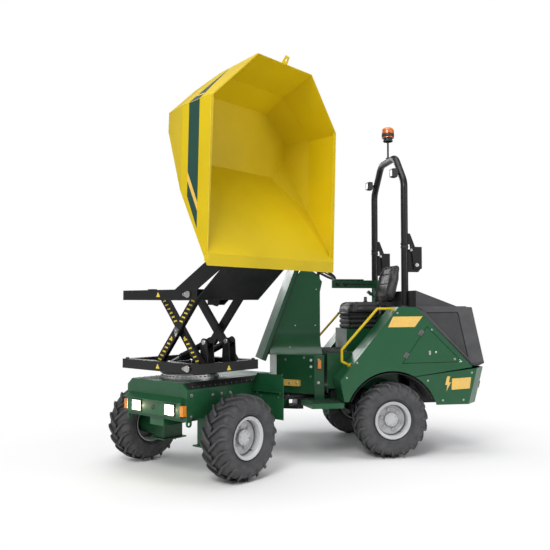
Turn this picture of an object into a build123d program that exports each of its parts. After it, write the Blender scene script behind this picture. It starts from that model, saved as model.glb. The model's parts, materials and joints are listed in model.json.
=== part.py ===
"""Articulated electric site dumper with a swivelling, high-tipping skip.

Millimetres, +X forward along the rear half, +Y left, +Z up, the ground at Z = 0.
It stands steered hard left, skip slewed to the left, lifted and fully tipped.
"""
from build123d import *

import os
from math import asin, atan2, cos, degrees, hypot, radians, sin

# ---------------------------------------------------------------- stance
articulation = 38.8     # front half turned left about the centre pivot, degrees
slew_turn = 90.0        # skip turned left about the slew ring, degrees
tip_turn = 92.5         # skip tipped forward, degrees
fit_gap = 0.05          # radial clearance of a pin or rod in its bore
side_gap = 5.0          # clearance between plates that move past each other
pin_head = 6.0          # how far a fixed pin stands out of its plate

# ---------------------------------------------------------------- wheels
front_axle_x = 1236.0   # centre pivot to front axle
rear_axle_x = 945.0     # centre pivot to rear axle
half_track = 613.0
tyre_radius = 355.0
tyre_width = 266.0
tyre_shoulder = 40.0
tyre_wall = 26.0
wall_foot = 20.0        # sidewall's foot, outside the rim
bead_radius = 152.0
rim_radius = 178.5
rim_face = 102.0        # rim's outer edge, outboard of the tyre's middle
rim_wall = 6.0
disc_face = 24.0        # wheel disc, outboard of the tyre's middle
disc_thickness = 10.0
hub_cap_radius = 62.0
hub_cap_depth = 34.0
spindle_radius = 28.0
stud_circle = 92.0
stud_count = 6
nut_radius = 13.0
nut_height = 14.0
hub_motor_radius = 104.0
hub_motor_gap = 10.0
leg_outer_y = 362.0
leg_inner_y = 215.0
leg_width = 210.0
leg_foot_z = 252.0
cross_member = 42.0
cross_member_width = 140.0
foot_plate = 12.0
foot_plate_ends = 25.0
foot_plate_inner = 30.0
foot_plate_outer = 14.0

# ---------------------------------------------------------------- front half
front_face_x = 1615.0
front_half_width = 389.0
front_top_z = 803.5
front_bottom_z = 494.0
edge_drop = 53.0
edge_inset = 62.0
front_plate_thick = 10.0
side_sheet = 8.0
front_back_x = 780.0
front_side_bottom_z = 512.0
neck_end_x = 450.0
neck_half_width = 270.0
beam_half_width = 88.0
beam_bottom_z = 430.0
beam_top_z = 530.0
pivot_boss_radius = 88.0
pivot_pin_radius = 30.0
fork_plate = 26.0
strip_thick = 6.0

steer_foot_x = -420.0
steer_foot_y = 285.0
steer_eye_x = 360.0
steer_eye_y = 225.0
steer_z = 550.0
steer_barrel_radius = 21.0
steer_barrel_length = 470.0
steer_tail = 24.0
steer_rod_radius = 13.0
steer_pin_radius = 12.0
steer_ear_gap = 44.0
steer_ear_radius = 26.0
steer_ear_back = 46.0
steer_ear_ahead = 120.0
steer_ear_root = 60.0
steer_eye_radius = 20.0

light_bar_half = 345.0
light_bar_depth = 34.0
light_bar_bottom_z = 524.0
light_bar_top_z = 656.0
visor_reach = 86.0
visor_rise = 34.0
visor_sheet = 5.0
lamp_y = 215.0
lamp_width = 126.0
lamp_height = 94.0
lamp_depth = 26.0
indicator_width = 38.0
indicator_height = 84.0

tie_lug_radius = 27.0
tie_lug_bore = 15.0
tie_lug_drop = 36.0
tie_lug_root = 20.0
tie_lug_thick = 14.0

flap_x = 815.0
flap_gap = 3.0          # chassis side to the flap
flap_outer_y = 735.0
flap_top_z = 838.0
flap_bottom_z = 450.0
flap_sheet = 5.0
flap_corner = 34.0
flap_ledge_z = 684.0
flap_ledge_reach = 38.0
flap_ledge_inset = 10.0
flap_cut = 60.0         # inner corners cut back, above and below
flap_shoulder = 40.0
flap_foot = 90.0
flap_bracket_reach = 30.0
flap_bracket_low = 90.0
flap_bracket_high = 250.0

# ---------------------------------------------------------------- slew ring and lower table
slew_x = front_axle_x
slew_flange_radius = 258.0
slew_flange_top_z = 874.0
slew_flange_thick = 22.0
slew_body_radius = 238.0
slew_hub_radius = 158.0
table_length = 975.0
table_width = 729.0
lower_frame_top_z = 964.0
lower_frame_depth = 81.5
upper_frame_top_z = 1571.0
upper_frame_depth = 85.0
channel_width = 80.0
channel_sheet = 10.0
end_width = 40.0
table_plate = 8.0
table_plate_half = 178.0
frame_gap = 16.0        # between the two tables when lowered

# ---------------------------------------------------------------- scissor
arm_pin_u = 383.0       # fixed pins, ahead of the slew centre in the tipping direction
arm_length = 790.0      # between end pins
arm_depth = 70.0
outer_arm_face = 275.0
inner_arm_face = 225.0
arm_thick = 40.0
arm_pin_radius = 20.0
arm_head_radius = 25.0
arm_head_thick = 8.0
mid_pin_head = 4.0
slide_shaft_radius = 18.0
roller_radius = 27.0
roller_inner = 286.0
roller_outer = 336.0

# ---------------------------------------------------------------- lift cylinders
lift_pin_u = 360.0
lift_pin_z = 1130.0
lift_side = 130.0       # each cylinder from the middle
lift_barrel_radius = 28.0
lift_barrel_length = 350.0
lift_tail = 46.0
lift_rod_radius = 18.0
lift_eye_radius = 25.0
lift_eye_width = 44.0
eye_side_gap = 2.0      # slide shaft to the side of a rod's eye
eye_slot_gap = 8.0      # side of a rod's eye to the slot cut for it in the lower plate
lift_pin_radius = 15.0
lug_plate = 10.0
lug_width = 104.0
lug_crown = 34.0

# ---------------------------------------------------------------- tip wedge and tip cylinder
tip_pin_u = 760.0
tip_pin_z = 1880.0
tip_boss_radius = 48.0
tip_pin_radius = 20.0
wedge_sheet = 10.0
wedge_heel_u = 214.0
wedge_neck_u = 716.0
wedge_neck_z = 1866.0
wedge_toe_u = 806.0
wedge_toe_z = 1758.0
rail_half_gap = 45.0
rail_thick = 12.0
rail_end = 46.0         # rail past the foot of the tip cylinder
rail_foot = 90.0
rail_slope = 60.0
rail_hang = 44.0
tip_foot_u = 330.0
tip_foot_z = 1480.0
tip_eye_x = -200.0      # rod eye on the skip, from the tip pin, skip level
tip_eye_z = -25.0
tip_barrel_radius = 38.0
tip_barrel_length = 392.0
tip_tail = 34.0
tip_rod_radius = 22.0
tip_cross_pin_radius = 16.0
tip_eye_radius = 30.0
tip_eye_gap = 3.0       # eye to the clevis's cheek
clevis_half_gap = 31.0
clevis_thick = 12.0
clevis_back = 90.0
clevis_ahead = 60.0
bore_end = 24.0         # closed end of a barrel's bore, ahead of its pin

# ---------------------------------------------------------------- skip
skip_wall = 5.0
rim_bar_width = 28.0
rim_bar_depth = 12.0
lip_x = 143.5           # pouring lip, ahead of the tip pin, skip level
lip_z = 266.5           # rim above the tip pin
skip_lug_face = 345.0
skip_lug_thick = 20.0
skip_lug_radius = 45.0
skip_lug_back = 120.0
skip_lug_ahead = 100.0
lift_eye_bore = 13.0
lift_eye_plate = 12.0
lift_eye_back = 34.0    # bore of the lifting eye, behind and below the rim's corner
lift_eye_drop = 4.0
lip_block_half = 215.0
lip_block_depth = 26.0
lip_block_length = 70.0
# back from the lip, half width, down from the rim
skip_corners = [
    (0, 760, 0),
    (1232, 760, 19),
    (1635, 330, -29),
    (546, 760, 312),
    (1192, 760, 320),
    (1522, 390, 334),
    (850, 520, 559),
    (1045, 690, 559),
    (1180, 690, 559),
    (1405, 440, 559),
]

# ---------------------------------------------------------------- rear half
side_y = 700.0
side_sheet_thick = 5.0
side_front_x = -442.0
side_front_low_x = -482.0
side_bottom_z = 537.0
side_knee_z = 731.0
side_top_front_x = -1016.0
side_top_back_x = -1191.0
side_top_z = 1418.0
side_rear_x = -1757.0
side_rear_z = 843.0
seam_front_x = -1157.0
seam_front_z = 760.0
seam_gap = 6.0
arch_radius = 462.0
panel_gap = 5.0         # platform to the side panel's inner wall
tail_x = -1935.0
tail_corner_x = -1805.0
tail_corner_y = 560.0
tail_rake = 90.0
tail_sheet = 8.0
tail_top_z = 838.0
tail_bottom_z = 488.0
tail_front_x = -1368.0
liner_radius = 440.0
liner_sheet = 4.0

platform_z = 975.0
platform_sheet = 14.0
platform_half = 415.0
platform_front_x = -386.0
platform_back_x = -1105.0
bulkhead_depth = 42.0
bulkhead_top_z = 1395.0

base_front_x = 76.0
base_front_half = 195.0
base_side_x = -250.0
base_side_y = 445.0
base_back_x = -345.0
base_bottom_z = 583.0
base_top_z = 955.0
base_sheet = 8.0

shield_foot_x = 222.0
shield_foot_z = 900.0
shield_head_x = -118.0
shield_head_z = 1806.0
shield_half = 205.0
shield_sheet = 8.0
shield_flange = 34.0
column_front_inset = 44.0
column_back_x = -380.0
column_top_z = 1738.0
column_top_half = 146.0
column_foot_half = 250.0
column_waist_z = 1190.0
column_flare_half = 172.0
column_flare_z = 1050.0
column_waist_half = 150.0
column_wall = 10.0
head_half = 128.0
head_back_x = -388.0
head_low_z = 1580.0
head_high_z = 1838.0

wheel_x = -425.0
wheel_z = 1802.0
wheel_tilt = 32.0
wheel_radius = 170.0
wheel_grip = 13.0
wheel_hub_radius = 34.0
shaft_radius = 18.0
shaft_length = 150.0

step_y = 742.0
step_root_y = 350.0
step_front_x = -118.0
step_front_inner_x = -196.0
step_back_x = -462.0
step_z = 532.0
step_depth = 46.0
tow_ring_radius = 30.0
tow_ring_bore = 15.0
tow_ring_x = -325.0
tow_ring_y = 600.0
tow_ring_drop = 44.0
tow_ring_thick = 14.0

chassis_half = 205.0
chassis_bottom_z = 440.0
chassis_top_z = 590.0
chassis_front_x = -150.0
chassis_back_x = -1830.0
chassis_taper_x = -330.0
chassis_nose_half = 128.0
chassis_sheet = 10.0
tow_pin_x = -1975.0
tow_pin_bore = 16.0
tow_jaw_radius = 42.0
tow_jaw = 14.0
tow_jaw_z = 470.0
tow_jaw_gap = 60.0

battery_front_x = -1230.0
battery_back_x = -1760.0
battery_half = 400.0
battery_bottom_z = 625.0
battery_top_z = 1130.0

seat_half = 240.0
seat_box_front_x = -640.0
seat_box_back_x = -1010.0
seat_box_half = 215.0
seat_box_top_z = 1200.0
seat_box_sheet = 5.0
bellows_top_z = 1345.0
bellows_ribs = 4
bellows_rib_depth = 16.0
bellows_half = 195.0
seat_pan_thick = 18.0
cushion_front_x = -630.0
cushion_back_x = -1094.0
cushion_thick = 100.0
back_foot_x = -1055.0
back_foot_z = 1478.0
back_height = 410.0
back_thick = 85.0
back_lean = 14.0

arm_bar_y = -300.0
arm_bar_front_x = -626.0
arm_bar_back_x = -1145.0
arm_bar_bottom_z = 1624.0
arm_bar_top_z = 1710.0
arm_bar_thick = 30.0
arm_drop_width = 46.0
knob_radius = 17.0
knob_length = 24.0
knob_pitch = 84.0

rail_y = 600.0
rail_radius = 12.5
rail_bend = 17.0

tail_lamp_y = 470.0
tail_lamp_depth = 22.0
tail_lamp_half = 55.0
tail_lamp_rise = 35.0
base_lamp_start = 34.0  # indicator on the base's side, ahead of its back edge
base_lamp_end = 66.0
base_lamp_depth = 26.0
base_lamp_low_z = 830.0
base_lamp_high_z = 912.0
lock_bar_start = 62.0   # along the base's slanted side
lock_bar_end = 262.0
lock_bar_depth = 42.0
lock_bar_low_z = 655.0
lock_bar_high_z = 712.0

rops_x = -1165.0
rops_leg_y = 465.0
rops_radius = 35.0
rops_beam_half = 40.0
rops_beam_low_z = 880.0
rops_beam_high_z = 940.0
rops_joint_z = 2035.0
rops_joint_gap = 6.0
rops_bend_z = 2671.0
rops_top_y = 221.0
rops_top_z = 2960.0
rops_bend_radius = 150.0
rops_pin_x = -1284.0
rops_pin_z = 1838.0
rops_pin_radius = 12.0
hinge_plate = 12.0
hinge_pin_end = 6.0
fold_root = 20.0        # hinge plates start inside the leg
fold_reach = 172.0      # and reach this far behind it
fold_below = 71.0       # lower plate under the pin
fold_corner = 32.0
fold_cut = 41.0
fold_top_drop = 45.0
arch_plate_rise = 115.0 # upper plates above the joint
arch_plate_neck = 50.0
arch_plate_knee = 102.0
arch_plate_knee_drop = 17.0
arch_plate_foot = 38.0  # under the pin
arch_plate_toe = 92.0
arch_plate_root_rise = 10.0
arch_plate_inner = 60.0
beam_overhang = 40.0
beacon_radius = 65.0
beacon_base_z = 3176.0
beacon_lens_z = 3215.0
beacon_top_z = 3327.0
beacon_pole_radius = 10.0
beacon_base_share = 0.72
work_lamp_z = 2765.0
work_lamp_y = 395.0
work_lamp_size = 78.0
work_lamp_depth = 54.0
work_lamp_stem = 24.0
work_lamp_arm = 18.0

hood_half = 612.0
hood_sheet = 8.0
hood_front_x = -1222.0
hood_front_z = 1583.0
hood_mid_x = -1640.0
hood_mid_z = 1430.0
hood_ridge_x = -1800.0
hood_ridge_z = 1420.0
hood_tail_x = -1925.0
hood_tail_z = 872.0
hood_clear = 8.0
hood_hinge_x = -1890.0
hood_hinge_z = 862.0
hood_hinge_y = 300.0
hood_knuckle_radius = 11.0
hood_knuckle_half = 25.0
hood_pin_radius = 6.0
hood_arm_rise = 4.0
hood_arm_thick = 14.0
hood_ear_half = 9.0
hood_ear_thick = 6.0
hood_ear_foot = 90.0    # foot of the ear, down the tail sheet from the hinge
hood_ear_root = 50.0

door_gap = 5.0
door_low_z = 885.0
door_front_x = -1046.0
door_top_x = -1296.0
door_top_z = 1240.0
door_back_x = -1655.0
door_back_z = 893.0
door_pin_rise = 8.0     # hinge axis outside the panel's face
door_pin_radius = 6.0
door_hinge_length = 56.0
door_leaf_width = 34.0
door_leaf_sheet = 4.0
door_hinge_places = (0.2, 0.8)  # shares of the slanted front edge

# ---------------------------------------------------------------- worked out from the sizes
turn = radians(articulation)
tip = radians(tip_turn)
skip_half = max(half for back, half, down in skip_corners)
skip_bend = skip_corners[1]
bend_reach = (lip_x - skip_bend[0]) * cos(tip) + (lip_z - skip_bend[2]) * sin(tip)
tread_edge_y = half_track + tyre_width / 2 - tyre_shoulder
tie_lug_x = front_face_x - tie_lug_radius
flap_inner_y = front_half_width + flap_gap
inner_wall_y = platform_half + panel_gap
front_reach = (front_axle_x + tyre_radius) * cos(turn) + tread_edge_y * sin(turn)
rear_reach = tow_jaw_radius - tow_pin_x
left_reach = (slew_x + skip_half) * sin(turn) + (tip_pin_u + bend_reach) * cos(turn)
right_reach = half_track + tyre_width / 2
pivot_x = (rear_reach - front_reach) / 2
pivot_y = (right_reach - left_reach) / 2

lower_pin_z = lower_frame_top_z - lower_frame_depth / 2
upper_pin_z = upper_frame_top_z - upper_frame_depth / 2
arm_rise = upper_pin_z - lower_pin_z
arm_angle = degrees(asin(arm_rise / arm_length))
slider_u = arm_pin_u - arm_length * cos(radians(arm_angle))
low_rise = upper_frame_depth / 2 + frame_gap + lower_frame_depth / 2
low_angle = degrees(asin(low_rise / arm_length))
lower_frame_bottom_z = lower_frame_top_z - lower_frame_depth
upper_frame_bottom_z = upper_frame_top_z - upper_frame_depth


# ---------------------------------------------------------------- frames and sketch planes
def level(frame, z=0.0):
    """Sketch seen from above: x forward, y left."""
    return frame.offset(z)


def upright(frame, y=0.0):
    """Sketch seen from the frame's right side: x forward, y up, normal to the right."""
    origin = frame.from_local_coords((0, y, 0))
    return Plane(origin=origin, x_dir=frame.x_dir, z_dir=-frame.y_dir)


def across(frame, x=0.0):
    """Sketch seen from ahead: x left, y up, normal forward."""
    origin = frame.from_local_coords((x, 0, 0))
    return Plane(origin=origin, x_dir=frame.y_dir, z_dir=frame.x_dir)


def pitched(frame, x, y, z, angle):
    """Frame at a point, its x pitched up from the frame's x by the angle in degrees."""
    lean = radians(angle)
    forward = frame.x_dir * cos(lean) + frame.z_dir * sin(lean)
    upward = frame.z_dir * cos(lean) - frame.x_dir * sin(lean)
    return Plane(origin=frame.from_local_coords((x, y, z)), x_dir=forward, z_dir=upward)


def axle(frame, x, y, z, side=1):
    """Plane whose normal points outward, to the left for side 1 and right for side -1."""
    return Plane(origin=frame.from_local_coords((x, y, z)), x_dir=frame.x_dir,
                 z_dir=frame.y_dir * side)


def box(frame, x, y, z, mode=Mode.ADD):
    """Box between two x, two y and two z of a frame."""
    with BuildSketch(level(frame, z[0])) as outline:
        with Locations(((x[0] + x[1]) / 2, (y[0] + y[1]) / 2)):
            Rectangle(abs(x[1] - x[0]), abs(y[1] - y[0]))
    extrude(outline.sketch, amount=z[1] - z[0], mode=mode)


def round_bar(frame, x, y, z, radius, mode=Mode.ADD):
    """Cylinder across the frame at x, z, between two y."""
    with BuildSketch(upright(frame, y[1])) as outline:
        with Locations((x, z)):
            Circle(radius)
    extrude(outline.sketch, amount=y[1] - y[0], mode=mode)


rear = Plane(origin=(pivot_x, pivot_y, 0), x_dir=(1, 0, 0), z_dir=(0, 0, 1))
front = Plane(origin=rear.origin, x_dir=(cos(turn), sin(turn), 0), z_dir=(0, 0, 1))
slewed = radians(articulation + slew_turn)
table = Plane(origin=front.from_local_coords((slew_x, 0, 0)),
              x_dir=(cos(slewed), sin(slewed), 0), z_dir=(0, 0, 1))
skip_frame = pitched(table, tip_pin_u, 0, tip_pin_z, -tip_turn)


def save(piece, name):
    piece.part.label = name
    export_step(piece.part, f"parts/{name}.step")


os.makedirs("parts", exist_ok=True)

# ================================================================ wheels
# name, half of the machine, distance ahead of the pivot, side
wheels = [
    ("front_left", front, front_axle_x, 1),
    ("front_right", front, front_axle_x, -1),
    ("rear_left", rear, -rear_axle_x, 1),
    ("rear_right", rear, -rear_axle_x, -1),
]
for name, half, x, side in wheels:
    hub = axle(half, x, side * half_track, tyre_radius, side)
    spin = Axis(hub.origin, hub.z_dir)
    section = upright(hub)
    w = tyre_width / 2

    with BuildPart() as tyre:
        crown = tyre_radius - tyre_wall
        bulge = tyre_radius - tyre_shoulder
        with BuildSketch(section):
            Polygon((rim_radius, -rim_face + rim_wall), (rim_radius + wall_foot, -w), (bulge, -w),
                    (tyre_radius, -w + tyre_shoulder), (tyre_radius, w - tyre_shoulder),
                    (bulge, w), (rim_radius + wall_foot, w), (rim_radius, rim_face - rim_wall),
                    (bead_radius, rim_face - 2 * rim_wall),
                    (bead_radius, rim_face - 2 * rim_wall - tyre_wall),
                    (rim_radius, w - tyre_wall), (crown, w - tyre_shoulder - tyre_wall / 3),
                    (crown, -w + tyre_shoulder + tyre_wall / 3), (rim_radius, tyre_wall - w),
                    (bead_radius, 2 * rim_wall + tyre_wall - rim_face),
                    (bead_radius, 2 * rim_wall - rim_face), align=None)
        revolve(axis=spin)
    save(tyre, f"tyre_{name}")

    with BuildPart() as rim:
        with BuildSketch(section):
            Polygon((bead_radius - rim_wall, -rim_face), (rim_radius, -rim_face),
                    (rim_radius, -rim_face + rim_wall), (bead_radius, -rim_face + 2 * rim_wall),
                    (bead_radius, rim_face - 2 * rim_wall), (rim_radius, rim_face - rim_wall),
                    (rim_radius, rim_face), (bead_radius - rim_wall, rim_face), align=None)
            with Locations((bead_radius / 2, disc_face - disc_thickness / 2)):
                Rectangle(bead_radius, disc_thickness)
            with Locations((hub_cap_radius / 2, disc_face + hub_cap_depth / 2)):
                Rectangle(hub_cap_radius, hub_cap_depth)
        revolve(axis=spin)
        with BuildSketch(level(hub, disc_face - disc_thickness)):
            Circle(spindle_radius + fit_gap)
        extrude(amount=disc_thickness + hub_cap_depth / 2, mode=Mode.SUBTRACT)
        with BuildSketch(level(hub, disc_face)):
            with PolarLocations(stud_circle, stud_count):
                RegularPolygon(nut_radius, 6)
        extrude(amount=nut_height)
    save(rim, f"rim_{name}")

# ================================================================ front half
with BuildPart() as front_chassis:
    # body of bent plate, open below
    with BuildSketch(across(front, front_back_x)):
        Polygon((front_half_width, front_side_bottom_z), (front_half_width, front_top_z - edge_drop),
                (front_half_width - edge_inset, front_top_z),
                (edge_inset - front_half_width, front_top_z),
                (-front_half_width, front_top_z - edge_drop),
                (-front_half_width, front_side_bottom_z), align=None)
    extrude(amount=front_face_x - front_back_x)
    inner = front_half_width - side_sheet
    with BuildSketch(across(front, front_back_x + side_sheet)):
        Polygon((inner, front_side_bottom_z), (inner, front_top_z - edge_drop - side_sheet / 2),
                (inner - edge_inset, front_top_z - side_sheet),
                (edge_inset - inner, front_top_z - side_sheet),
                (-inner, front_top_z - edge_drop - side_sheet / 2),
                (-inner, front_side_bottom_z), align=None)
    extrude(amount=front_face_x - front_back_x - side_sheet - front_plate_thick, mode=Mode.SUBTRACT)
    # deeper front plate
    with BuildSketch(across(front, front_face_x - front_plate_thick)):
        Polygon((front_half_width, front_bottom_z), (front_half_width, front_top_z - edge_drop),
                (front_half_width - edge_inset, front_top_z),
                (edge_inset - front_half_width, front_top_z),
                (-front_half_width, front_top_z - edge_drop), (-front_half_width, front_bottom_z),
                align=None)
    extrude(amount=front_plate_thick)
    # rear deck over the neck, and its two webs
    with BuildSketch(level(front, front_top_z - side_sheet)):
        Polygon((front_back_x, front_half_width - edge_inset), (neck_end_x, neck_half_width),
                (neck_end_x, -neck_half_width), (front_back_x, edge_inset - front_half_width),
                align=None)
    extrude(amount=side_sheet)
    for side in (1, -1):
        with BuildSketch(upright(front, side * beam_half_width)):
            Polygon((front_back_x + side_sheet, front_top_z - side_sheet / 2),
                    (neck_end_x + 20, front_top_z - side_sheet / 2),
                    (neck_end_x - 120, beam_top_z), (neck_end_x - 120, beam_bottom_z),
                    (front_back_x + side_sheet, beam_bottom_z), align=None)
        extrude(amount=side * 2 * side_sheet)
    # neck beam and pivot boss
    with BuildSketch(level(front, beam_bottom_z)):
        with Locations(((front_face_x - front_plate_thick) / 2, 0)):
            Rectangle(front_face_x - front_plate_thick, 2 * beam_half_width)
        Circle(pivot_boss_radius)
        Circle(pivot_pin_radius + fit_gap, mode=Mode.SUBTRACT)
    extrude(amount=beam_top_z - beam_bottom_z)
    # ear of the steering cylinder's rod
    for rise in (1, -1):
        near = steer_z + rise * steer_ear_gap / 2
        with BuildSketch(level(front, near)):
            Polygon((steer_eye_x - steer_ear_back, beam_half_width - side_sheet / 2),
                    (steer_eye_x + steer_ear_ahead, beam_half_width - side_sheet / 2),
                    (steer_eye_x + steer_ear_radius, steer_eye_y),
                    (steer_eye_x - steer_ear_radius, steer_eye_y), align=None)
            with Locations((steer_eye_x, steer_eye_y)):
                Circle(steer_ear_radius)
        extrude(amount=rise * lug_plate)
        with BuildSketch(level(front, near)):
            with Locations((steer_eye_x, steer_eye_y)):
                Circle(steer_pin_radius)
        extrude(amount=rise * (lug_plate + pin_head))
    # tie-down lugs under the sides
    for side in (1, -1):
        lug_face = front_half_width if side == 1 else tie_lug_thick - front_half_width
        with BuildSketch(upright(front, lug_face)):
            with Locations((tie_lug_x, front_side_bottom_z - tie_lug_drop)):
                Circle(tie_lug_radius)
            with Locations((tie_lug_x, front_side_bottom_z + (tie_lug_root - tie_lug_drop) / 2)):
                Rectangle(2 * tie_lug_radius, tie_lug_root + tie_lug_drop)
            with Locations((tie_lug_x, front_side_bottom_z - tie_lug_drop)):
                Circle(tie_lug_bore, mode=Mode.SUBTRACT)
        extrude(amount=tie_lug_thick)
save(front_chassis, "front_chassis")


def axle_legs(half, x, beam_z):
    """Cross member on the beam, hanging legs, foot plates, hub motors and spindles."""
    box(half, (x - cross_member_width / 2, x + cross_member_width / 2), (-leg_outer_y, leg_outer_y),
        (beam_z, beam_z + cross_member))
    motor_end = half_track + disc_face - disc_thickness - hub_motor_gap
    for side in (1, -1):
        box(half, (x - leg_width / 2, x + leg_width / 2),
            (side * leg_inner_y, side * leg_outer_y), (leg_foot_z, beam_z + cross_member))
        box(half, (x - leg_width / 2 - foot_plate_ends, x + leg_width / 2 + foot_plate_ends),
            (side * (leg_inner_y - foot_plate_inner), side * (leg_outer_y + foot_plate_outer)),
            (leg_foot_z - foot_plate, leg_foot_z))
        inner, outer = sorted((side * (leg_outer_y - 1), side * motor_end))
        round_bar(half, x, (inner, outer), tyre_radius, hub_motor_radius)
        spindle_end = half_track + disc_face + hub_cap_depth / 2 - hub_motor_gap / 2
        inner, outer = sorted((side * (motor_end - 1), side * spindle_end))
        round_bar(half, x, (inner, outer), tyre_radius, spindle_radius)


with BuildPart() as front_axle:
    axle_legs(front, front_axle_x, beam_top_z)
save(front_axle, "front_axle")

with BuildPart() as edge_strips:
    for side in (1, -1):
        with BuildSketch(across(front, front_back_x + 10)):
            Polygon((side * (front_half_width - 6), front_top_z - edge_drop + 5.2),
                    (side * (front_half_width - edge_inset + 8), front_top_z - 6.8),
                    (side * (front_half_width - edge_inset + 12), front_top_z - 6.8 + strip_thick),
                    (side * (front_half_width - 2), front_top_z - edge_drop + 5.2 + strip_thick),
                    align=None)
        extrude(amount=front_face_x - front_back_x - 30)
save(edge_strips, "edge_strips")

with BuildPart() as light_bar:
    box(front, (front_face_x, front_face_x + light_bar_depth), (-light_bar_half, light_bar_half),
        (light_bar_bottom_z, light_bar_top_z))
    with BuildSketch(upright(front, light_bar_half)):
        Polygon((front_face_x, light_bar_top_z + visor_rise),
                (front_face_x + visor_reach, light_bar_top_z),
                (front_face_x + visor_reach, light_bar_top_z - visor_sheet),
                (front_face_x, light_bar_top_z - visor_sheet), align=None)
    extrude(amount=2 * light_bar_half)
    for side in (1, -1):
        with BuildSketch(across(front, front_face_x + light_bar_depth - lamp_depth)):
            with Locations((side * lamp_y, (light_bar_bottom_z + light_bar_top_z) / 2 - 6)):
                Rectangle(lamp_width + 4, lamp_height + 4)
        extrude(amount=lamp_depth + 1, mode=Mode.SUBTRACT)
save(light_bar, "light_bar")

with BuildPart() as front_lamps:
    lamp_z = (light_bar_bottom_z + light_bar_top_z) / 2 - 6
    for side in (1, -1):
        box(front, (front_face_x + light_bar_depth - lamp_depth, front_face_x + light_bar_depth + 6),
            (side * lamp_y - lamp_width / 2, side * lamp_y + lamp_width / 2),
            (lamp_z - lamp_height / 2, lamp_z + lamp_height / 2))
        box(front, (front_face_x, front_face_x + light_bar_depth + 4),
            sorted((side * light_bar_half, side * (light_bar_half + indicator_width))),
            (lamp_z - indicator_height / 2, lamp_z + indicator_height / 2))
save(front_lamps, "front_lamps")

with BuildPart() as mudflaps:
    for side in (1, -1):
        with BuildSketch(across(front, flap_x)):
            Polygon((side * flap_inner_y, flap_bottom_z + flap_cut),
                    (side * flap_inner_y, flap_top_z - flap_cut),
                    (side * (flap_inner_y + flap_shoulder), flap_top_z),
                    (side * (flap_outer_y - flap_corner), flap_top_z),
                    (side * flap_outer_y, flap_top_z - flap_corner),
                    (side * flap_outer_y, flap_bottom_z),
                    (side * (flap_inner_y + flap_foot), flap_bottom_z), align=None)
        extrude(amount=flap_sheet)
        box(front, (flap_x, flap_x + flap_ledge_reach),
            sorted((side * flap_inner_y, side * (flap_outer_y - flap_ledge_inset))),
            (flap_ledge_z, flap_ledge_z + flap_sheet))
        box(front, (flap_x - flap_bracket_reach, flap_x + flap_sheet / 2),
            sorted((side * front_half_width, side * (flap_inner_y + flap_shoulder))),
            (flap_bottom_z + flap_bracket_low, flap_bottom_z + flap_bracket_high))
save(mudflaps, "mudflaps")

with BuildPart() as slew_ring:
    with BuildSketch(level(front, front_top_z)):
        with Locations((slew_x, 0)):
            Circle(slew_body_radius)
    extrude(amount=slew_flange_top_z - slew_flange_thick - front_top_z - 2)
    with BuildSketch(level(front, front_top_z)):
        with Locations((slew_x, 0)):
            Circle(slew_flange_radius)
    extrude(amount=slew_flange_thick)
save(slew_ring, "slew_ring")

# ================================================================ lower table
half_length = table_length / 2
half_width = table_width / 2


def table_frame(bottom_z, depth):
    """Side channels open inward, joined by end members."""
    for side in (1, -1):
        web = sorted((side * half_width, side * (half_width - channel_sheet)))
        flange = sorted((side * half_width, side * (half_width - channel_width)))
        box(table, (-half_length, half_length), web, (bottom_z, bottom_z + depth))
        box(table, (-half_length, half_length), flange, (bottom_z, bottom_z + channel_sheet))
        box(table, (-half_length, half_length), flange,
            (bottom_z + depth - channel_sheet, bottom_z + depth))
    for side in (1, -1):
        box(table, sorted((side * half_length, side * (half_length - end_width))),
            (-half_width, half_width), (bottom_z, bottom_z + depth))


with BuildPart() as lower_table:
    table_frame(lower_frame_bottom_z, lower_frame_depth)
    box(table, (-half_length + 1, half_length - 1), (-table_plate_half, table_plate_half),
        (lower_frame_bottom_z, lower_frame_bottom_z + table_plate))
    with BuildSketch(level(table, slew_flange_top_z - slew_flange_thick)):
        Circle(slew_flange_radius)
    extrude(amount=slew_flange_thick)
    with BuildSketch(level(table, slew_flange_top_z)):
        Circle(slew_hub_radius)
    extrude(amount=lower_frame_bottom_z + table_plate / 2 - slew_flange_top_z)
    # trunnion lugs for the two lift cylinders
    lug_reach = lift_barrel_radius + side_gap
    for side in (1, -1):
        for face in (side * lift_side - lug_reach - lug_plate, side * lift_side + lug_reach):
            with BuildSketch(upright(table, face + lug_plate)):
                with Locations((lift_pin_u, lift_pin_z)):
                    Circle(lug_crown)
                Polygon((lift_pin_u - lug_width / 2, lower_frame_bottom_z + table_plate / 2),
                        (lift_pin_u + lug_width / 2, lower_frame_bottom_z + table_plate / 2),
                        (lift_pin_u + lug_crown, lift_pin_z), (lift_pin_u - lug_crown, lift_pin_z),
                        align=None)
                with Locations((lift_pin_u, lift_pin_z)):
                    Circle(lift_pin_radius + fit_gap, mode=Mode.SUBTRACT)
            extrude(amount=lug_plate)
    # slots in the plate for the eyes of the lift cylinders' rods
    slot_half = lift_eye_width / 2 + eye_slot_gap
    for side in (1, -1):
        box(table, (end_width - half_length, -slew_hub_radius),
            (side * lift_side - slot_half, side * lift_side + slot_half),
            (lower_frame_bottom_z - 1, lower_frame_bottom_z + table_plate + 1), Mode.SUBTRACT)
    # bores of the fixed scissor pins
    round_bar(table, arm_pin_u, (-half_width - 1, half_width + 1), lower_pin_z,
              arm_pin_radius + fit_gap, Mode.SUBTRACT)
save(lower_table, "lower_table")

# ================================================================ scissor
scissor_mid_u = (arm_pin_u + slider_u) / 2
scissor_mid_z = (lower_pin_z + upper_pin_z) / 2


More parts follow.
